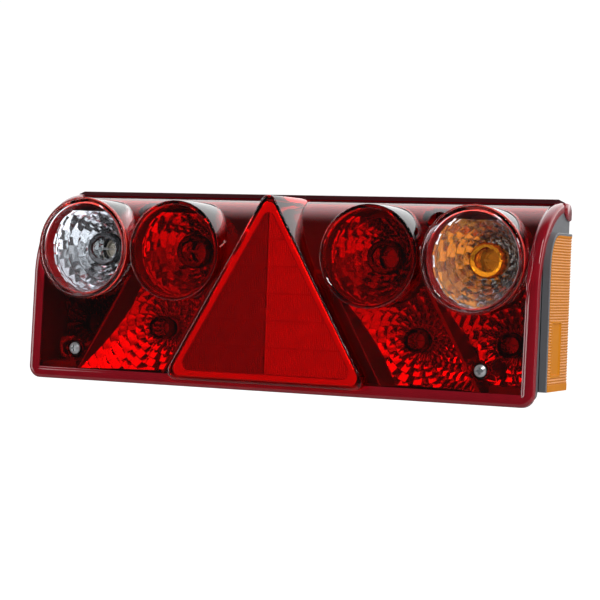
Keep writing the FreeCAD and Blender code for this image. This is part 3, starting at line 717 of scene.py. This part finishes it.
def barrel(x, z):
    """One closed shell: outer wall, rounded edge, flat front, and the same again inside."""
    steps = 128
    front = -LAMP_PROUD
    inner = LAMP_RADIUS - BARREL_WALL
    loops = [[(px, front_y(pz, FIELD_SINK) + 0.2, pz)
              for px, pz in circle_outline(x, z, LAMP_RADIUS, steps)]]
    for i in range(5):
        a = math.radians(90 * i / 4)
        loops.append(ring(LAMP_RADIUS - EDGE + EDGE * math.cos(a), front + EDGE - EDGE * math.sin(a),
                          x, z, steps))
    loops.append(ring(LAMP_RADIUS - RING_IN[0], front, x, z, steps))
    loops.append(ring(LAMP_RADIUS - RING_IN[1], front + DISH_IN, x, z, steps))
    loops.append(ring(0.01, front + DISH_IN, x, z, steps))
    loops.append(ring(0.01, front + BARREL_WALL, x, z, steps))
    loops.append(ring(inner - 1.0, front + BARREL_WALL, x, z, steps))
    loops.append(ring(inner, front + BARREL_WALL + 1.0, x, z, steps))
    loops.append([(px, max(front_y(pz, FIELD_SINK + WALL), front + BARREL_WALL + 1.2), pz)
                  for px, pz in circle_outline(x, z, inner, steps)])
    points, faces = bridge(loops)
    last = len(points) - steps
    faces += [(last + i, last + (i + 1) % steps, (i + 1) % steps, i) for i in range(steps)]
    return points, faces


LENS_NODE = {"reversing": "reversing_lens", "indicator": "indicator_lens"}
for name, (x, z) in ROUND.items():
    clear = name in LENS_NODE
    piece("round_lens_" + name, *barrel(x, z), CLEAR if clear else RED, "lens",
          "clear_plastic" if clear else "red_plastic", [LENS_NODE[name]] if clear else [])
print("round lenses", len(ROUND), "clear", len(LENS_NODE))

# %% [markdown]
# ## Collars
# Round the front of every clear barrel runs a thin red collar, where the red and the clear
# shot of the mould meet. It is a half-round bead with a short skirt.

# %% collars
COLLAR = 0.45               # radius of the bead
SKIRT = 3.0


def collar(x, z):
    """A bead round the front edge of a clear lens, and its skirt."""
    front = -LAMP_PROUD + 0.5
    loops = []
    for i in range(9):
        a = math.radians(180 * i / 8)
        loops.append(ring(LAMP_RADIUS + COLLAR + COLLAR * math.cos(a),
                          front - COLLAR * math.sin(a), x, z, 96))
    skirt = [(px, min(max(front_y(pz, FIELD_SINK) - 0.1, front + 0.1), front + SKIRT), pz)
             for px, pz in circle_outline(x, z, LAMP_RADIUS + 2 * COLLAR, 96)]
    return bridge([skirt] + loops)


for name in LENS_NODE:
    piece("collar_" + name, *collar(*ROUND[name]), RED, "lens", "red_plastic")
print("collars", len(LENS_NODE))

# %% [markdown]
# ## Triangular reflector
# A clear red cover with rounded corners stands in front of the lens, and behind it lies a
# plate of moulded prisms. The prisms lean one way left of the middle and the other way on
# the right, and the left half is also painted darker, as painted shade. Each row ends in a fine
# seam.

# %% triangle cover
TRI_WALL = 2.4
GATE_RISE = 0.3             # the gate mark alone reaches the very front of the lamp


def scaled(outline, inset, y):
    """The outline shrunk about the triangle's middle by an inset of its sides."""
    k = max(1 - inset / TRI_IN, 0.002)
    return [(px * k, y, TRI_MIDDLE + (pz - TRI_MIDDLE) * k) for px, pz in outline]


def triangle_cover():
    """One closed shell: side walls, a rounded edge, a flat front and the same inside."""
    outline = split_edges(triangle_outline(0.0), 4.0)
    front = TRI_FRONT + GATE_RISE
    loops = [[(px, front_y(pz, FIELD_SINK) + 0.2, pz) for px, pz in outline]]
    for inset, y in ((0.0, front + 1.6), (0.12, front + 0.9), (0.5, front + 0.3), (1.2, front),
                     (1.6, front)):
        loops.append(scaled(outline, inset, y))
    outer = bridge(loops, caps=(False, True))
    inner_loops = [scaled(outline, TRI_WALL + 1.2, front + 2.5),
                   scaled(outline, TRI_WALL + 0.8, front + 2.5),
                   scaled(outline, TRI_WALL, front + 3.2)]
    inner_loops.append([(px, max(front_y(pz, FIELD_SINK + WALL), front + 3.4), pz)
                        for px, _, pz in inner_loops[-1]])
    points, faces = join(outer, bridge(inner_loops, caps=(True, False)))
    count = len(outline)
    last = len(points) - count
    faces += [(last + i, last + (i + 1) % count, (i + 1) % count, i) for i in range(count)]
    return points, faces


piece("triangle_cover", *triangle_cover(), REFLEX_RED, "lens", "red_plastic",
      ["triangle_reflector"])
print("triangle cover front at", TRI_FRONT + GATE_RISE)


# %% meshes that get cut
def facet_mesh(name, points, faces):
    """A bare mesh, in the frame's own metres, that is cut before it becomes a piece."""
    mesh = bpy.data.meshes.new(name)
    mesh.from_pydata([at(*p) for p in points], [], faces)
    return mesh


def clip(mesh, planes):
    """Cut a mesh along planes, each a point and the normal of the side that goes."""
    work = bmesh.new()
    work.from_mesh(mesh)
    for point, normal in planes:
        bmesh.ops.bisect_plane(work, geom=work.verts[:] + work.edges[:] + work.faces[:],
                               plane_co=point, plane_no=normal, clear_outer=True, dist=1e-7)
    work.to_mesh(mesh)
    work.free()
    return mesh


# %% prism plate
PRISM = 1.5                 # width of one prism
PRISM_RISE = 0.55
ROW = 19.0                  # height of one row of prisms
SEAM = 0.5                  # half the gap between two rows
BORDER = 7.0                # width of the plain border
PLATE_BACK = 4.0            # how far the prisms lie behind the front of the triangle


def triangle_planes(inset):
    """Three planes of the triangle, moved inwards, for clip."""
    result = []
    for turn in (-90, 30, 150):
        a = math.radians(turn)
        reach = TRI_IN - inset
        result.append((at(reach * math.cos(a), 0, TRI_MIDDLE + reach * math.sin(a)),
                       Vector((math.cos(a), 0, math.sin(a)))))
    return result


def prism_plate(side):
    """Rows of upright saw-tooth prisms on one side of the middle, with seams between rows."""
    points = []
    faces = []
    y = TRI_FRONT + PLATE_BACK
    for row in range(math.ceil(TRI_SIDE * 0.87 / ROW)):
        low = TRI_BASE + BORDER + row * ROW
        for tooth in range(int(TRI_SIDE / 2 / PRISM)):
            x0 = side * (0.6 + tooth * PRISM)
            x1 = side * (0.6 + (tooth + 1) * PRISM)
            start = len(points)
            for px, dy in ((x0, 0.0), (x1 - side * 0.2, -PRISM_RISE * side), (x1, 0.0)):
                points.append((px, y + dy, low + SEAM))
                points.append((px, y + dy, low + ROW - SEAM))
            faces.append((start, start + 2, start + 3, start + 1))
            faces.append((start + 2, start + 4, start + 5, start + 3))
    start = len(points)
    for px in (0, side * TRI_SIDE / 2):
        points.append((px, y + 0.9, TRI_BASE))
        points.append((px, y + 0.9, TRI_BASE + TRI_SIDE))
    faces.append((start, start + 2, start + 3, start + 1))
    return points, faces


# left half in the darker painted-shade copy of the prism red, right half in the lighter
# painted-light copy
for side, name, material in ((-1, "left", PRISM_PAINTED_SHADE), (1, "right", PRISM_RED)):
    plate = facet_mesh("triangle_prisms_" + name, *prism_plate(side))
    clip(plate, triangle_planes(BORDER))
    finish_piece("triangle_prisms_" + name, plate, material, "lens", sharp=10)
print("prisms", PRISM, "mm wide, rows", ROW, "mm high")

# %% [markdown]
# ## Border and gate mark
# A plain strip frames the prisms, so the triangle ends in a clean line inside its cover.
# The small ring on the cover is the scar of the gate, where the plastic entered the mould.

# %% border and gate mark
GATE_UP = 6.0               # how far the gate mark lies above the triangle's middle

edge = split_edges(triangle_outline(0.0), 4.0)
border = bridge([scaled(edge, TRI_WALL + 0.2, TRI_FRONT + 3.5),
                 scaled(edge, BORDER - 0.6, TRI_FRONT + 3.3),
                 scaled(edge, BORDER, TRI_FRONT + 5.2)])
piece("triangle_border", *border, BORDER_RED, "lens", "red_plastic")
gate = lathe([(2.4, TRI_FRONT + GATE_RISE), (2.2, TRI_FRONT), (1.7, TRI_FRONT),
              (1.5, TRI_FRONT + GATE_RISE)], 0.0, TRI_MIDDLE + GATE_UP, 32)
piece("triangle_gate_mark", *gate, RED, "lens", "red_plastic")
print("border", BORDER, "mm, gate mark at", round(TRI_MIDDLE + GATE_UP, 1))

# %% [markdown]
# ## Mirrored reflectors
# A reflector is a parabolic dish broken into pillows, laid like bricks in rings about the
# bulb. Each pillow bulges towards the viewer and mirrors its own small picture of the room,
# which gives the glitter. Every pillow has its own points, so its edges stay crisp.

# %% faceted dish
PATCH = 5                   # divisions along each side of a pillow


def dish(x, z, radii, sectors, depth, bulge, lean, start=0.0):
    """Pillows in rings, leaning one way and the other by turns. depth gives Y at a radius."""
    points = []
    faces = []
    for k in range(len(radii) - 1):
        shift = (k % 2) * 0.5
        count = sectors[k]
        for j in range(count):
            a0 = 2 * math.pi * (j + shift) / count + start
            a1 = 2 * math.pi * (j + 1 + shift) / count + start
            turn = lean if (j + k // 2) % 2 else -lean
            rise = bulge[k]
            base = len(points)
            for iu in range(PATCH + 1):
                u = iu / PATCH
                r = radii[k] + (radii[k + 1] - radii[k]) * u
                for iv in range(PATCH + 1):
                    v = iv / PATCH
                    a = a0 + (a1 - a0) * v
                    h = rise * (1 - (2 * u - 1) ** 2) * (1 - (2 * v - 1) ** 2)
                    h += turn * (2 * u - 1 + 2 * v - 1)
                    points.append((x + r * math.cos(a), depth(r) - h, z + r * math.sin(a)))
            width = PATCH + 1
            for iu in range(PATCH):
                for iv in range(PATCH):
                    i = base + iu * width + iv
                    faces.append((i, i + 1, i + width + 1, i + width))
    return points, faces


# %% [markdown]
# ## Round dishes
# Seven rings of twenty-six pillows, the bulge growing outwards. A black socket closes the
# hole in the middle. A red lining stands between the barrel and the dish, as the inside of
# the red lens does on the real lamp, and hides the gap between them.

# %% round reflectors
NECK = 10.6                 # radius of the hole for the bulb
DISH_BACK = 48.0
SOCKET_BACK = 54.0          # Y of the bottom of a bulb socket
ROUND_RIM = LAMP_RADIUS - BARREL_WALL - 0.7
ROUND_TOP = 124.8           # the round dishes are cut off flat at this height
ROUND_RADII = [NECK, 13.2, 16.2, 19.6, 23.4, 27.4, 31.4, ROUND_RIM]
ROUND_BULGE = [0.12, 0.18, 0.24, 0.3, 0.34, 0.36, 0.36]
ROUND_LEAN = 0.28           # how far neighbouring pillows tip against each other


def round_depth(r):
    """Nearly a cone, a little steeper outwards."""
    out = r - NECK
    return DISH_BACK - 2 - 0.95 * out - 0.0262 * out ** 2


for name, (x, z) in ROUND.items():
    points, faces = dish(x, z, ROUND_RADII, [26] * 7, round_depth, ROUND_BULGE, ROUND_LEAN,
                         0.1 * len(name))
    mesh = facet_mesh("mirror_" + name, points, faces)
    clip(mesh, [(at(0, 0, ROUND_TOP), Vector((0, 0, 1)))])
    finish_piece("mirror_" + name, mesh, MIRROR, "root",
                 ["reflector_" + name], sharp=40)
    neck = lathe([(NECK, DISH_BACK - 2), (NECK - 0.4, SOCKET_BACK), (1.0, SOCKET_BACK + 0.5)],
                 x, z, 48)
    piece("neck_" + name, *neck, BLACK_NYLON, "root", "black_plastic")
    lining = lathe([(ROUND_RIM + 0.2, 40.0), (ROUND_RIM + 0.2, 1.2), (ROUND_RIM - 0.3, 1.0),
                    (ROUND_RIM - 0.4, 8.0)], x, z, 96)
    lining_mesh = facet_mesh("lining_" + name, *lining)
    finish_piece("lining_" + name, lining_mesh, LINING_RED, "lens")
print("round dishes", len(ROUND), "rim radius", round(ROUND_RIM, 1))

# %% [markdown]
# ## Lower chambers
# The lower chambers are larger dishes, cut off by slanted walls that run parallel to the
# triangle. The far left chamber holds no lamp, so its tray was left black. First come the
# walls and the tools that cut a dish to its chamber.

# %% chamber walls
LEAN = 1 / math.sqrt(3)     # slope of a 60 degree wall
LOW_TOP = 78.0
LOW_BASE = 8.5


def slanted(side, x_base, keep_inside):
    """A clipping plane through a slanted wall; keep_inside keeps the part nearer the middle."""
    normal = Vector((1 * side, 0, LEAN)).normalized()
    if not keep_inside:
        normal = -normal
    return at(x_base * side, 0, LOW_BASE), normal


def without_circles(mesh):
    """Remove what lies behind the round lenses."""
    work = bmesh.new()
    work.from_mesh(mesh)
    gone = []
    for face in work.faces:
        middle = face.calc_center_median()
        px = middle.x / MM
        pz = middle.z / MM + FOOT
        if any(math.hypot(px - x, pz - z) < LAMP_RADIUS - 1.2 for x, z in ROUND.values()):
            gone.append(face)
    bmesh.ops.delete(work, geom=gone, context="FACES")
    work.to_mesh(mesh)
    work.free()
    return mesh


def slanted_wall(side, x_base, thick=1.3):
    """A thin upright wall along one slanted edge, from the dish to just behind the lens."""
    reach = (LOW_TOP - LOW_BASE) * LEAN
    corners = [(side * x_base, LOW_BASE), (side * (x_base - reach), LOW_TOP),
               (side * (x_base - reach + thick), LOW_TOP), (side * (x_base + thick), LOW_BASE)]
    front = [(px, 6.0 + 0.02 * pz, pz) for px, pz in corners]
    back = [(px, DISH_BACK, pz) for px, pz in corners]
    return bridge([front, back], caps=(True, False))


print("chambers from", LOW_BASE, "to", LOW_TOP, "mm")

# %% lower reflectors
LOW_NECK = 7.6              # the lower bulbs look out of smaller holes
LOW_LEAN = 0.42
LOW_FRONT = 7.5             # nothing of a dish stands in front of this Y
FIRST_RING = 14.5
RING_WIDTH = 5.4
RINGS = 11


def low_depth(r):
    """Y of a lower dish at a radius, shallower than the round ones."""
    return DISH_BACK - 0.5 * (r - LOW_NECK) - 0.004 * (r - LOW_NECK) ** 2


# name: (middle, side, foot of the near wall, foot of the far wall, finish, slot)
CHAMBERS = {
    "fog": (LOW["fog"], -1, 86.0, 155.0, MIRROR, "metallised_plastic"),
    "position": (LOW["position"], 1, 86.0, 155.0, MIRROR, "metallised_plastic"),
    "plate": (LOW["plate"], 1, 157.5, 183.0, MIRROR, "metallised_plastic"),
    "blank": ((-LOW["plate"][0], LOW["plate"][1]), -1, 157.5, 188.0, BLANK, "black_plastic"),
}
for name, ((x, z), side, near, far, material, slot) in CHAMBERS.items():
    radii = [LOW_NECK, FIRST_RING] + [FIRST_RING + RING_WIDTH * (k + 1) for k in range(RINGS)]
    sectors = [40] + [32] * RINGS
    bulge = [0.28] + [0.38 + 0.03 * k for k in range(RINGS)]
    points, faces = dish(x, z, radii, sectors, low_depth, bulge, LOW_LEAN)
    mesh = facet_mesh("mirror_" + name, points, faces)
    neck = lathe([(LOW_NECK, DISH_BACK), (LOW_NECK - 0.3, SOCKET_BACK), (1.0, SOCKET_BACK + 0.5)],
                 x, z, 48)
    piece("neck_" + name, *neck, BLACK_NYLON, "root", "black_plastic")
    planes = [slanted(side, near, False), (at(0, 0, LOW_BASE), Vector((0, 0, -1))),
              (at(0, 0, LOW_TOP), Vector((0, 0, 1))), (at(0, LOW_FRONT, 0), Vector((0, -1, 0)))]
    if name in ("fog", "position"):
        planes.append(slanted(side, far, True))
    else:
        planes.append((at(far * side, 0, 0), Vector((side, 0, 0))))
    without_circles(clip(mesh, planes))
    finish_piece("mirror_" + name, mesh, material, "root", ["reflector_" + name], sharp=40)
    walls = [slanted_wall(side, near - 1.3)]
    if name in ("fog", "position"):
        walls.append(slanted_wall(side, far))
    wall_points, wall_faces = join(*walls)
    wall_mesh = without_circles(facet_mesh("walls_" + name, wall_points, wall_faces))
    finish_piece("walls_" + name, wall_mesh, BLANK if material == BLANK else SATIN_MIRROR,
                 "root", sharp=30)
print("reflectors", len(ROUND) + len(CHAMBERS))

# %% [markdown]
# ## Bulbs
# A bulb is a thin blown globe on a nickelled cap. Blown glass is too thin to bend what lies
# behind it, so the globe is one turned skin with the thin glass finish: a round nose and a
# soft taper to the neck. Its size comes from the box of the CAD glass.

# %% globes
GLOBE_NECK = 6.1            # radius where the globe meets its cap


def globe_profile(low_y, high_y, radius):
    """Half outline of a globe: a round nose, then a taper to the neck at high_y."""
    outline = []
    for i in range(13):
        a = math.radians(90 * i / 12)
        outline.append((radius * math.sin(a), low_y + radius * (1 - math.cos(a))))
    straight = low_y + radius * 1.45
    for i in range(1, 9):
        t = i / 8
        ease = t * t * (3 - 2 * t)
        outline.append((radius + (GLOBE_NECK - radius) * ease,
                        straight + (high_y - straight) * t))
    return outline


print("globe neck", GLOBE_NECK)

# %% [markdown]
# ## Filaments
# The filament is a short coil drawn as a curve with a round section, held by two supports
# that come up from the cap. It is what the eye looks for inside a clear bulb.

# %% filaments
WIRE = 0.16                 # radius of the wire
COIL = 0.7                  # radius of the coil


def filament(x, y, z, width):
    """A short coil between two bent supports."""
    curve = bpy.data.curves.new("filament", "CURVE")
    curve.dimensions = "3D"
    curve.bevel_depth = WIRE * MM
    curve.bevel_resolution = 2
    turns = 9
    lines = []
    coil = []
    for i in range(turns * 10 + 1):
        a = 2 * math.pi * i / 10
        t = i / (turns * 10)
        coil.append((x - width / 2 + width * t, y + COIL * math.cos(a), z + COIL * math.sin(a)))
    lines.append(coil)
    for side in (-1, 1):
        px = x + side * width / 2
        lines.append([(px, y + COIL, z), (px + side * 0.3, y + 5, z), (x + side * 1.6, y + 15, z)])
    for line in lines:
        spline = curve.splines.new("POLY")
        spline.points.add(len(line) - 1)
        for point, place in zip(spline.points, line):
            point.co = (*at(*place), 1)
    return curve


def bulb(name, x, z, glass, slot):
    """Globe and filament of one lamp, riding on its bulb."""
    node = "bulb_glass_" + name
    low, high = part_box(node)
    low_y = low[1] / MM + CASE_DEPTH
    high_y = high[1] / MM + CASE_DEPTH
    radius = (high[0] - low[0]) / 2 / MM
    body = "bulb_" + name
    outline = globe_profile(low_y, high_y, radius)
    piece("globe_" + name, *lathe(outline, x, z, 64), glass, body, slot, [node])
    curve = filament(x, low_y + radius * 1.05, z, radius * 0.42)
    wire = bpy.data.objects.new("filament_" + name, curve)
    bpy.context.scene.collection.objects.link(wire)
    curve.materials.append(ZINC)
    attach(wire, body)


for name, (x, z) in {**ROUND, **LOW}.items():
    amber = name == "indicator"
    bulb(name, x, z, AMBER_GLASS if amber else GLASS, "amber_glass" if amber else "clear_glass")
print("bulbs", len(ROUND) + len(LOW))

# %% [markdown]
# ## Housing and small parts
# Housing, seals, sockets, bulb caps, screws and studs keep the shape of their CAD parts.
# Each gets the finish of its material slot. Faces are shaded smooth and split at 32
# degrees, so turned parts look round and moulded edges stay crisp.

# %% housing keeps its CAD shape
FINISH = {"grey_plastic": GREY_ABS, "metallised_plastic": MIRROR, "clear_glass": GLASS,
          "nickelled_brass": NICKEL, "brass": BRASS, "zinc_steel": ZINC, "rubber": RUBBER,
          "black_plastic": BLACK_NYLON, "red_plastic": RED, "clear_plastic": CLEAR,
          "amber_plastic": AMBER, "amber_glass": AMBER_GLASS}
slots = {row["node"]: row["material_slot"] for row in frame["record"]["subparts"]}
for name, item in frame["nodes"].items():
    item.data.materials.clear()
    item.data.materials.append(FINISH[slots[name]])
    for face in item.data.polygons:
        face.use_smooth = True
    item.data.set_sharp_from_angle(angle=math.radians(32))
print("CAD parts with a finish", len(frame["nodes"]))

# %% [markdown]
# ## End marker
# The amber marker is a shallow box whose front upper corner follows the lens. A grey edge
# of the housing frames it at the front and along the top. It is the same outline three
# times over, carried from the root of the marker to its face, with the corner broken.

# %% marker bezel
marker_low, marker_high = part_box("marker_lens")
MARK = {"front": marker_low[1] / MM + CASE_DEPTH, "rear": marker_high[1] / MM + CASE_DEPTH,
        "low": marker_low[2] / MM + FOOT, "high": marker_high[2] / MM + FOOT,
        "root": marker_low[0] / MM, "face": marker_high[0] / MM}
BEND = {"back": 18.0, "down": 24.0}     # how far the upper front corner is rounded off
BEZEL = 1.8


def marker_edge(inset):
    """Front and top edge of the marker in (Y, Z), from the bottom up and round to the rear."""
    edge = [(MARK["front"] + inset, MARK["low"])]
    for i in range(17):
        a = math.radians(90 * i / 16)
        edge.append((MARK["front"] + inset + (BEND["back"] - inset) * (1 - math.cos(a)),
                     MARK["high"] - BEND["down"] + (BEND["down"] - inset) * math.sin(a)))
    return edge + [(MARK["rear"], MARK["high"] - inset)]


def marker_bezel():
    """The grey strip that frames the front and top edge of the marker."""
    outer = marker_edge(0.0)
    inner = marker_edge(BEZEL)
    soft = marker_edge(0.4)
    root = MARK["root"]
    face = MARK["face"] - 0.2
    return bridge([[(root, *a), (face - 0.4, *a), (face, *b), (face, *c), (root, *c)]
                   for a, b, c in zip(outer, soft, inner)], caps=(True, True))


piece("marker_bezel", *marker_bezel(), GREY_ABS, "root", "grey_plastic", sharp=40)
print("marker from", round(MARK["low"], 1), "to", round(MARK["high"], 1), "mm")

# %% [markdown]
# ## Ribbed amber cover
# Fine level ribs run over the side of the marker to spread the light, and a plain framed
# window sits in its lower half. The ribs are real geometry: a rounded wave in the face,
# 1.9 mm from crest to crest. A bump map would not break up the outline or the glints.

# %% marker cover
RIB = 1.9
RIB_DEPTH = 0.55
WINDOW_DEPTH = 0.9
WINDOW_EDGE = 1.6           # width of the frame round the window
WINDOW = (9.5, 47.5)        # from and to, above the marker's lower edge
WINDOW_SHARE = (0.14, 0.62)  # from and to, as a share of the marker's width


def marker_front(z):
    """Y of the cover's front edge at a height: upright, then curving back at the top."""
    t = (z - MARK["high"] + BEND["down"]) / (BEND["down"] - BEZEL)
    t = min(max(t, 0.0), 1.0)
    return MARK["front"] + BEZEL + (BEND["back"] - BEZEL) * (1 - math.sqrt(1 - t * t))


def marker_face():
    """The ribbed outer face as a grid in (share of the width, height)."""
    columns = 40
    top = MARK["high"] - BEZEL
    rows = int((top - MARK["low"]) / RIB * 6)
    loops = []
    frame_low = MARK["low"] + WINDOW[0]
    frame_high = MARK["low"] + WINDOW[1]
    share_low, share_high = WINDOW_SHARE
    for i in range(rows + 1):
        z = MARK["low"] + (top - MARK["low"]) * i / rows
        front = marker_front(z)
        row = []
        for j in range(columns + 1):
            t = j / columns
            y = front + (MARK["rear"] - front) * t
            wave = 0.5 - 0.5 * math.cos(2 * math.pi * (z - MARK["low"]) / RIB)
            depth = RIB_DEPTH * wave
            plain = z < MARK["low"] + 5.0 or z > top - 1.5
            in_frame = frame_low < z < frame_high and share_low < t < share_high
            edge = in_frame and (z < frame_low + WINDOW_EDGE or z > frame_high - WINDOW_EDGE
                                 or t < 0.18 or t > 0.58)
            if plain or edge:
                depth = 0.0
            elif in_frame:
                depth = WINDOW_DEPTH
            if t in (0.0, 1.0):
                depth = 1.2
            row.append((MARK["face"] - depth, y, z))
        loops.append(row)
    return loops


face_rows = marker_face()
face_skin = bridge(face_rows, closed=False)
around = [row[0] for row in face_rows] + face_rows[-1][1:-1]
around += [row[-1] for row in reversed(face_rows)] + face_rows[0][-2:0:-1]
sides = []
for depth in (0.0, 0.6, 2.2, MARK["face"] - MARK["root"] - 1.2):
    sides.append([(px - depth, py, pz) for px, py, pz in around])
piece("marker_cover", *join(face_skin, bridge(sides)), AMBER, "root", "amber_plastic",
      ["marker_lens"], sharp=40)
print("marker ribs every", RIB, "mm")

# %% [markdown]
# ## Floor and backdrop
# The floor and backdrop are one pale sweep of paper. The lamp hangs well above it, as it
# would on a bracket. The eye sees the paper evenly white. For everything else it glows only
# high up, which whitens the curved crown and leaves the upright front of the lens deep red.

# %% sweep
FLOOR_DROP = 0.45           # metres from the middle of the lamp down to the floor
TURN = 1.2                  # metres, where the floor begins to rise and how widely


def sweep():
    """Floor, bend and backdrop as one strip, in metres."""
    line = [(-1.4, 0.0), (TURN, 0.0)]
    for i in range(1, 13):
        a = math.radians(90 * i / 12)
        line.append((TURN + TURN * math.sin(a), TURN * (1 - math.cos(a))))
    line.append((2 * TURN, 3.2))
    points = [(x, y, z - FLOOR_DROP) for x in (-4.0, 4.0) for y, z in line]
    count = len(line)
    faces = [(i, i + 1, count + i + 1, count + i) for i in range(count - 1)]
    mesh = bpy.data.meshes.new("sweep")
    mesh.from_pydata(points, [], faces)
    for face in mesh.polygons:
        face.use_smooth = True
    return mesh


floor = bpy.data.objects.new("sweep", sweep())
bpy.context.scene.collection.objects.link(floor)
print("floor", FLOOR_DROP, "m below the lamp")

# %% paper
paper, paper_tree, paper_out = new_material("paper_backdrop_white")
paper_path = add_node(paper_tree, "ShaderNodeLightPath")
paper_place = add_node(paper_tree, "ShaderNodeTexCoord")
paper_height = add_node(paper_tree, "ShaderNodeSeparateXYZ", {}, {
    "Vector": paper_place.outputs["Object"]})
paper_shine = add_node(paper_tree, "ShaderNodeMapRange", {"interpolation_type": "SMOOTHSTEP"}, {
    "Value": paper_height.outputs["Z"], "From Min": 0.15, "From Max": 0.6,
    "To Min": 0.08, "To Max": 1.8})
paper_glow = add_node(paper_tree, "ShaderNodeMapRange", {}, {
    "Value": paper_path.outputs["Is Camera Ray"], "To Min": paper_shine.outputs["Result"],
    "To Max": 0.95})
paper_shader = add_node(paper_tree, "ShaderNodeBsdfPrincipled", {}, {
    "Base Color": linear("#9a9a9a"), "Roughness": 0.9,
    "Emission Color": linear("#ffffff"), "Emission Strength": paper_glow.outputs["Result"]})
paper_tree.links.new(paper_shader.outputs[0], paper_out.inputs["Surface"])
floor.data.materials.append(paper)
print("paper", paper.name)

# %% [markdown]
# ## Lamps
# A large soft lamp on the left shapes the housing. A high narrow one on the right draws
# the upright streaks on the lens edges. A fill on the right lifts the amber marker, and is
# hidden from mirrors and glass so it leaves no square of its own on them.


# %% lamps
def soft_lamp(name, place, target, width, height, watts):
    """A rectangular lamp at a place, turned to its target. Sizes in metres."""
    lamp = bpy.data.lights.new(name, "AREA")
    lamp.shape = "RECTANGLE"
    lamp.size = width
    lamp.size_y = height
    lamp.energy = watts
    item = bpy.data.objects.new(name, lamp)
    bpy.context.scene.collection.objects.link(item)
    item.location = place
    way = Vector(target) - Vector(place)
    item.rotation_euler = way.to_track_quat("-Z", "Y").to_euler()
    return item


soft_lamp("left_softbox", (-1.3, -1.0, 0.35), (0, 0, 0), 0.6, 1.3, 9)
soft_lamp("right_strip", (1.0, -0.8, 1.3), (0, 0, 0), 0.12, 1.0, 9)
fill = soft_lamp("side_fill", (1.7, -0.7, 0.4), (0, 0, 0), 1.0, 1.0, 14)
fill.visible_glossy = False
fill.visible_transmission = False
print("lamps", len(bpy.data.lights))

# %% [markdown]
# ## Room
# The room is a plain world whose strength depends on direction. From outside it is bright
# only behind the lamp, so flat plastic mirrors a dark room and the crown a pale one. Light
# that has been through the lens and back sees a brighter sky: it stands for the many small
# reflections inside the chambers, which would take far too long to follow one by one.

# %% room
world = bpy.data.worlds.new("studio")
bpy.context.scene.world = world
world.use_nodes = True
tree = world.node_tree
tree.nodes.clear()
way = add_node(tree, "ShaderNodeTexCoord")
split = add_node(tree, "ShaderNodeSeparateXYZ", {}, {"Vector": way.outputs["Generated"]})
seen = add_node(tree, "ShaderNodeLightPath")
outer = add_node(tree, "ShaderNodeMapRange", {"interpolation_type": "SMOOTHSTEP"}, {
    "Value": split.outputs["Y"], "From Min": 0.05, "From Max": 0.55,
    "To Min": 0.06, "To Max": 1.9})
inner = add_node(tree, "ShaderNodeMapRange", {"interpolation_type": "SMOOTHSTEP"}, {
    "Value": split.outputs["Z"], "From Min": -0.25, "From Max": 0.35,
    "To Min": 0.5, "To Max": 2.6})
deep = add_node(tree, "ShaderNodeMath", {"operation": "GREATER_THAN"}, {
    0: seen.outputs["Transmission Depth"], 1: 2.5})
level = add_node(tree, "ShaderNodeMapRange", {}, {
    "Value": deep.outputs[0], "To Min": outer.outputs["Result"], "To Max": inner.outputs["Result"]})
sky = add_node(tree, "ShaderNodeBackground", {}, {
    "Color": linear("#f4f6fa"), "Strength": level.outputs["Result"]})
wall = add_node(tree, "ShaderNodeBackground", {}, {"Color": linear("#ffffff"), "Strength": 1.0})
both = add_node(tree, "ShaderNodeMixShader", {}, {
    0: seen.outputs["Is Camera Ray"], 1: sky.outputs[0], 2: wall.outputs[0]})
add_node(tree, "ShaderNodeOutputWorld", {}, {"Surface": both.outputs[0]})
print("room", world.name)

# %% [markdown]
# ## Camera
# A long lens from the front, a little to the right and almost level, slightly rolled. The
# angles, the aim and the distance were fitted to points that can be told apart on the
# lamp: the screw wells, the round lenses and the corners of the triangle.

# %% camera
AZIMUTH, ELEVATION, ROLL = (math.radians(v) for v in (24.81, 0.82, 2.03))
DISTANCE = 1389.2           # millimetres
FOCAL = 115.95              # millimetres, on a sensor 36 mm wide
AIM = at(6.3, 40.0, 64.8)
back = Vector((math.sin(AZIMUTH) * math.cos(ELEVATION), -math.cos(AZIMUTH) * math.cos(ELEVATION),
               math.sin(ELEVATION)))
side = Vector((0, 0, 1)).cross(back).normalized()
up = back.cross(side)
turned_side = side * math.cos(ROLL) + up * math.sin(ROLL)
turned_up = up * math.cos(ROLL) - side * math.sin(ROLL)
camera = bpy.data.objects.new("camera", bpy.data.cameras.new("camera"))
bpy.context.scene.collection.objects.link(camera)
camera.matrix_world = Matrix.Translation(AIM + back * DISTANCE * MM) @ Matrix(
    (turned_side, turned_up, back)).transposed().to_4x4()
camera.data.sensor_width = 36.0
camera.data.lens = FOCAL
bpy.context.scene.camera = camera
bpy.context.scene.view_settings.view_transform = "Standard"
print("camera at", [round(v, 3) for v in camera.matrix_world.translation])
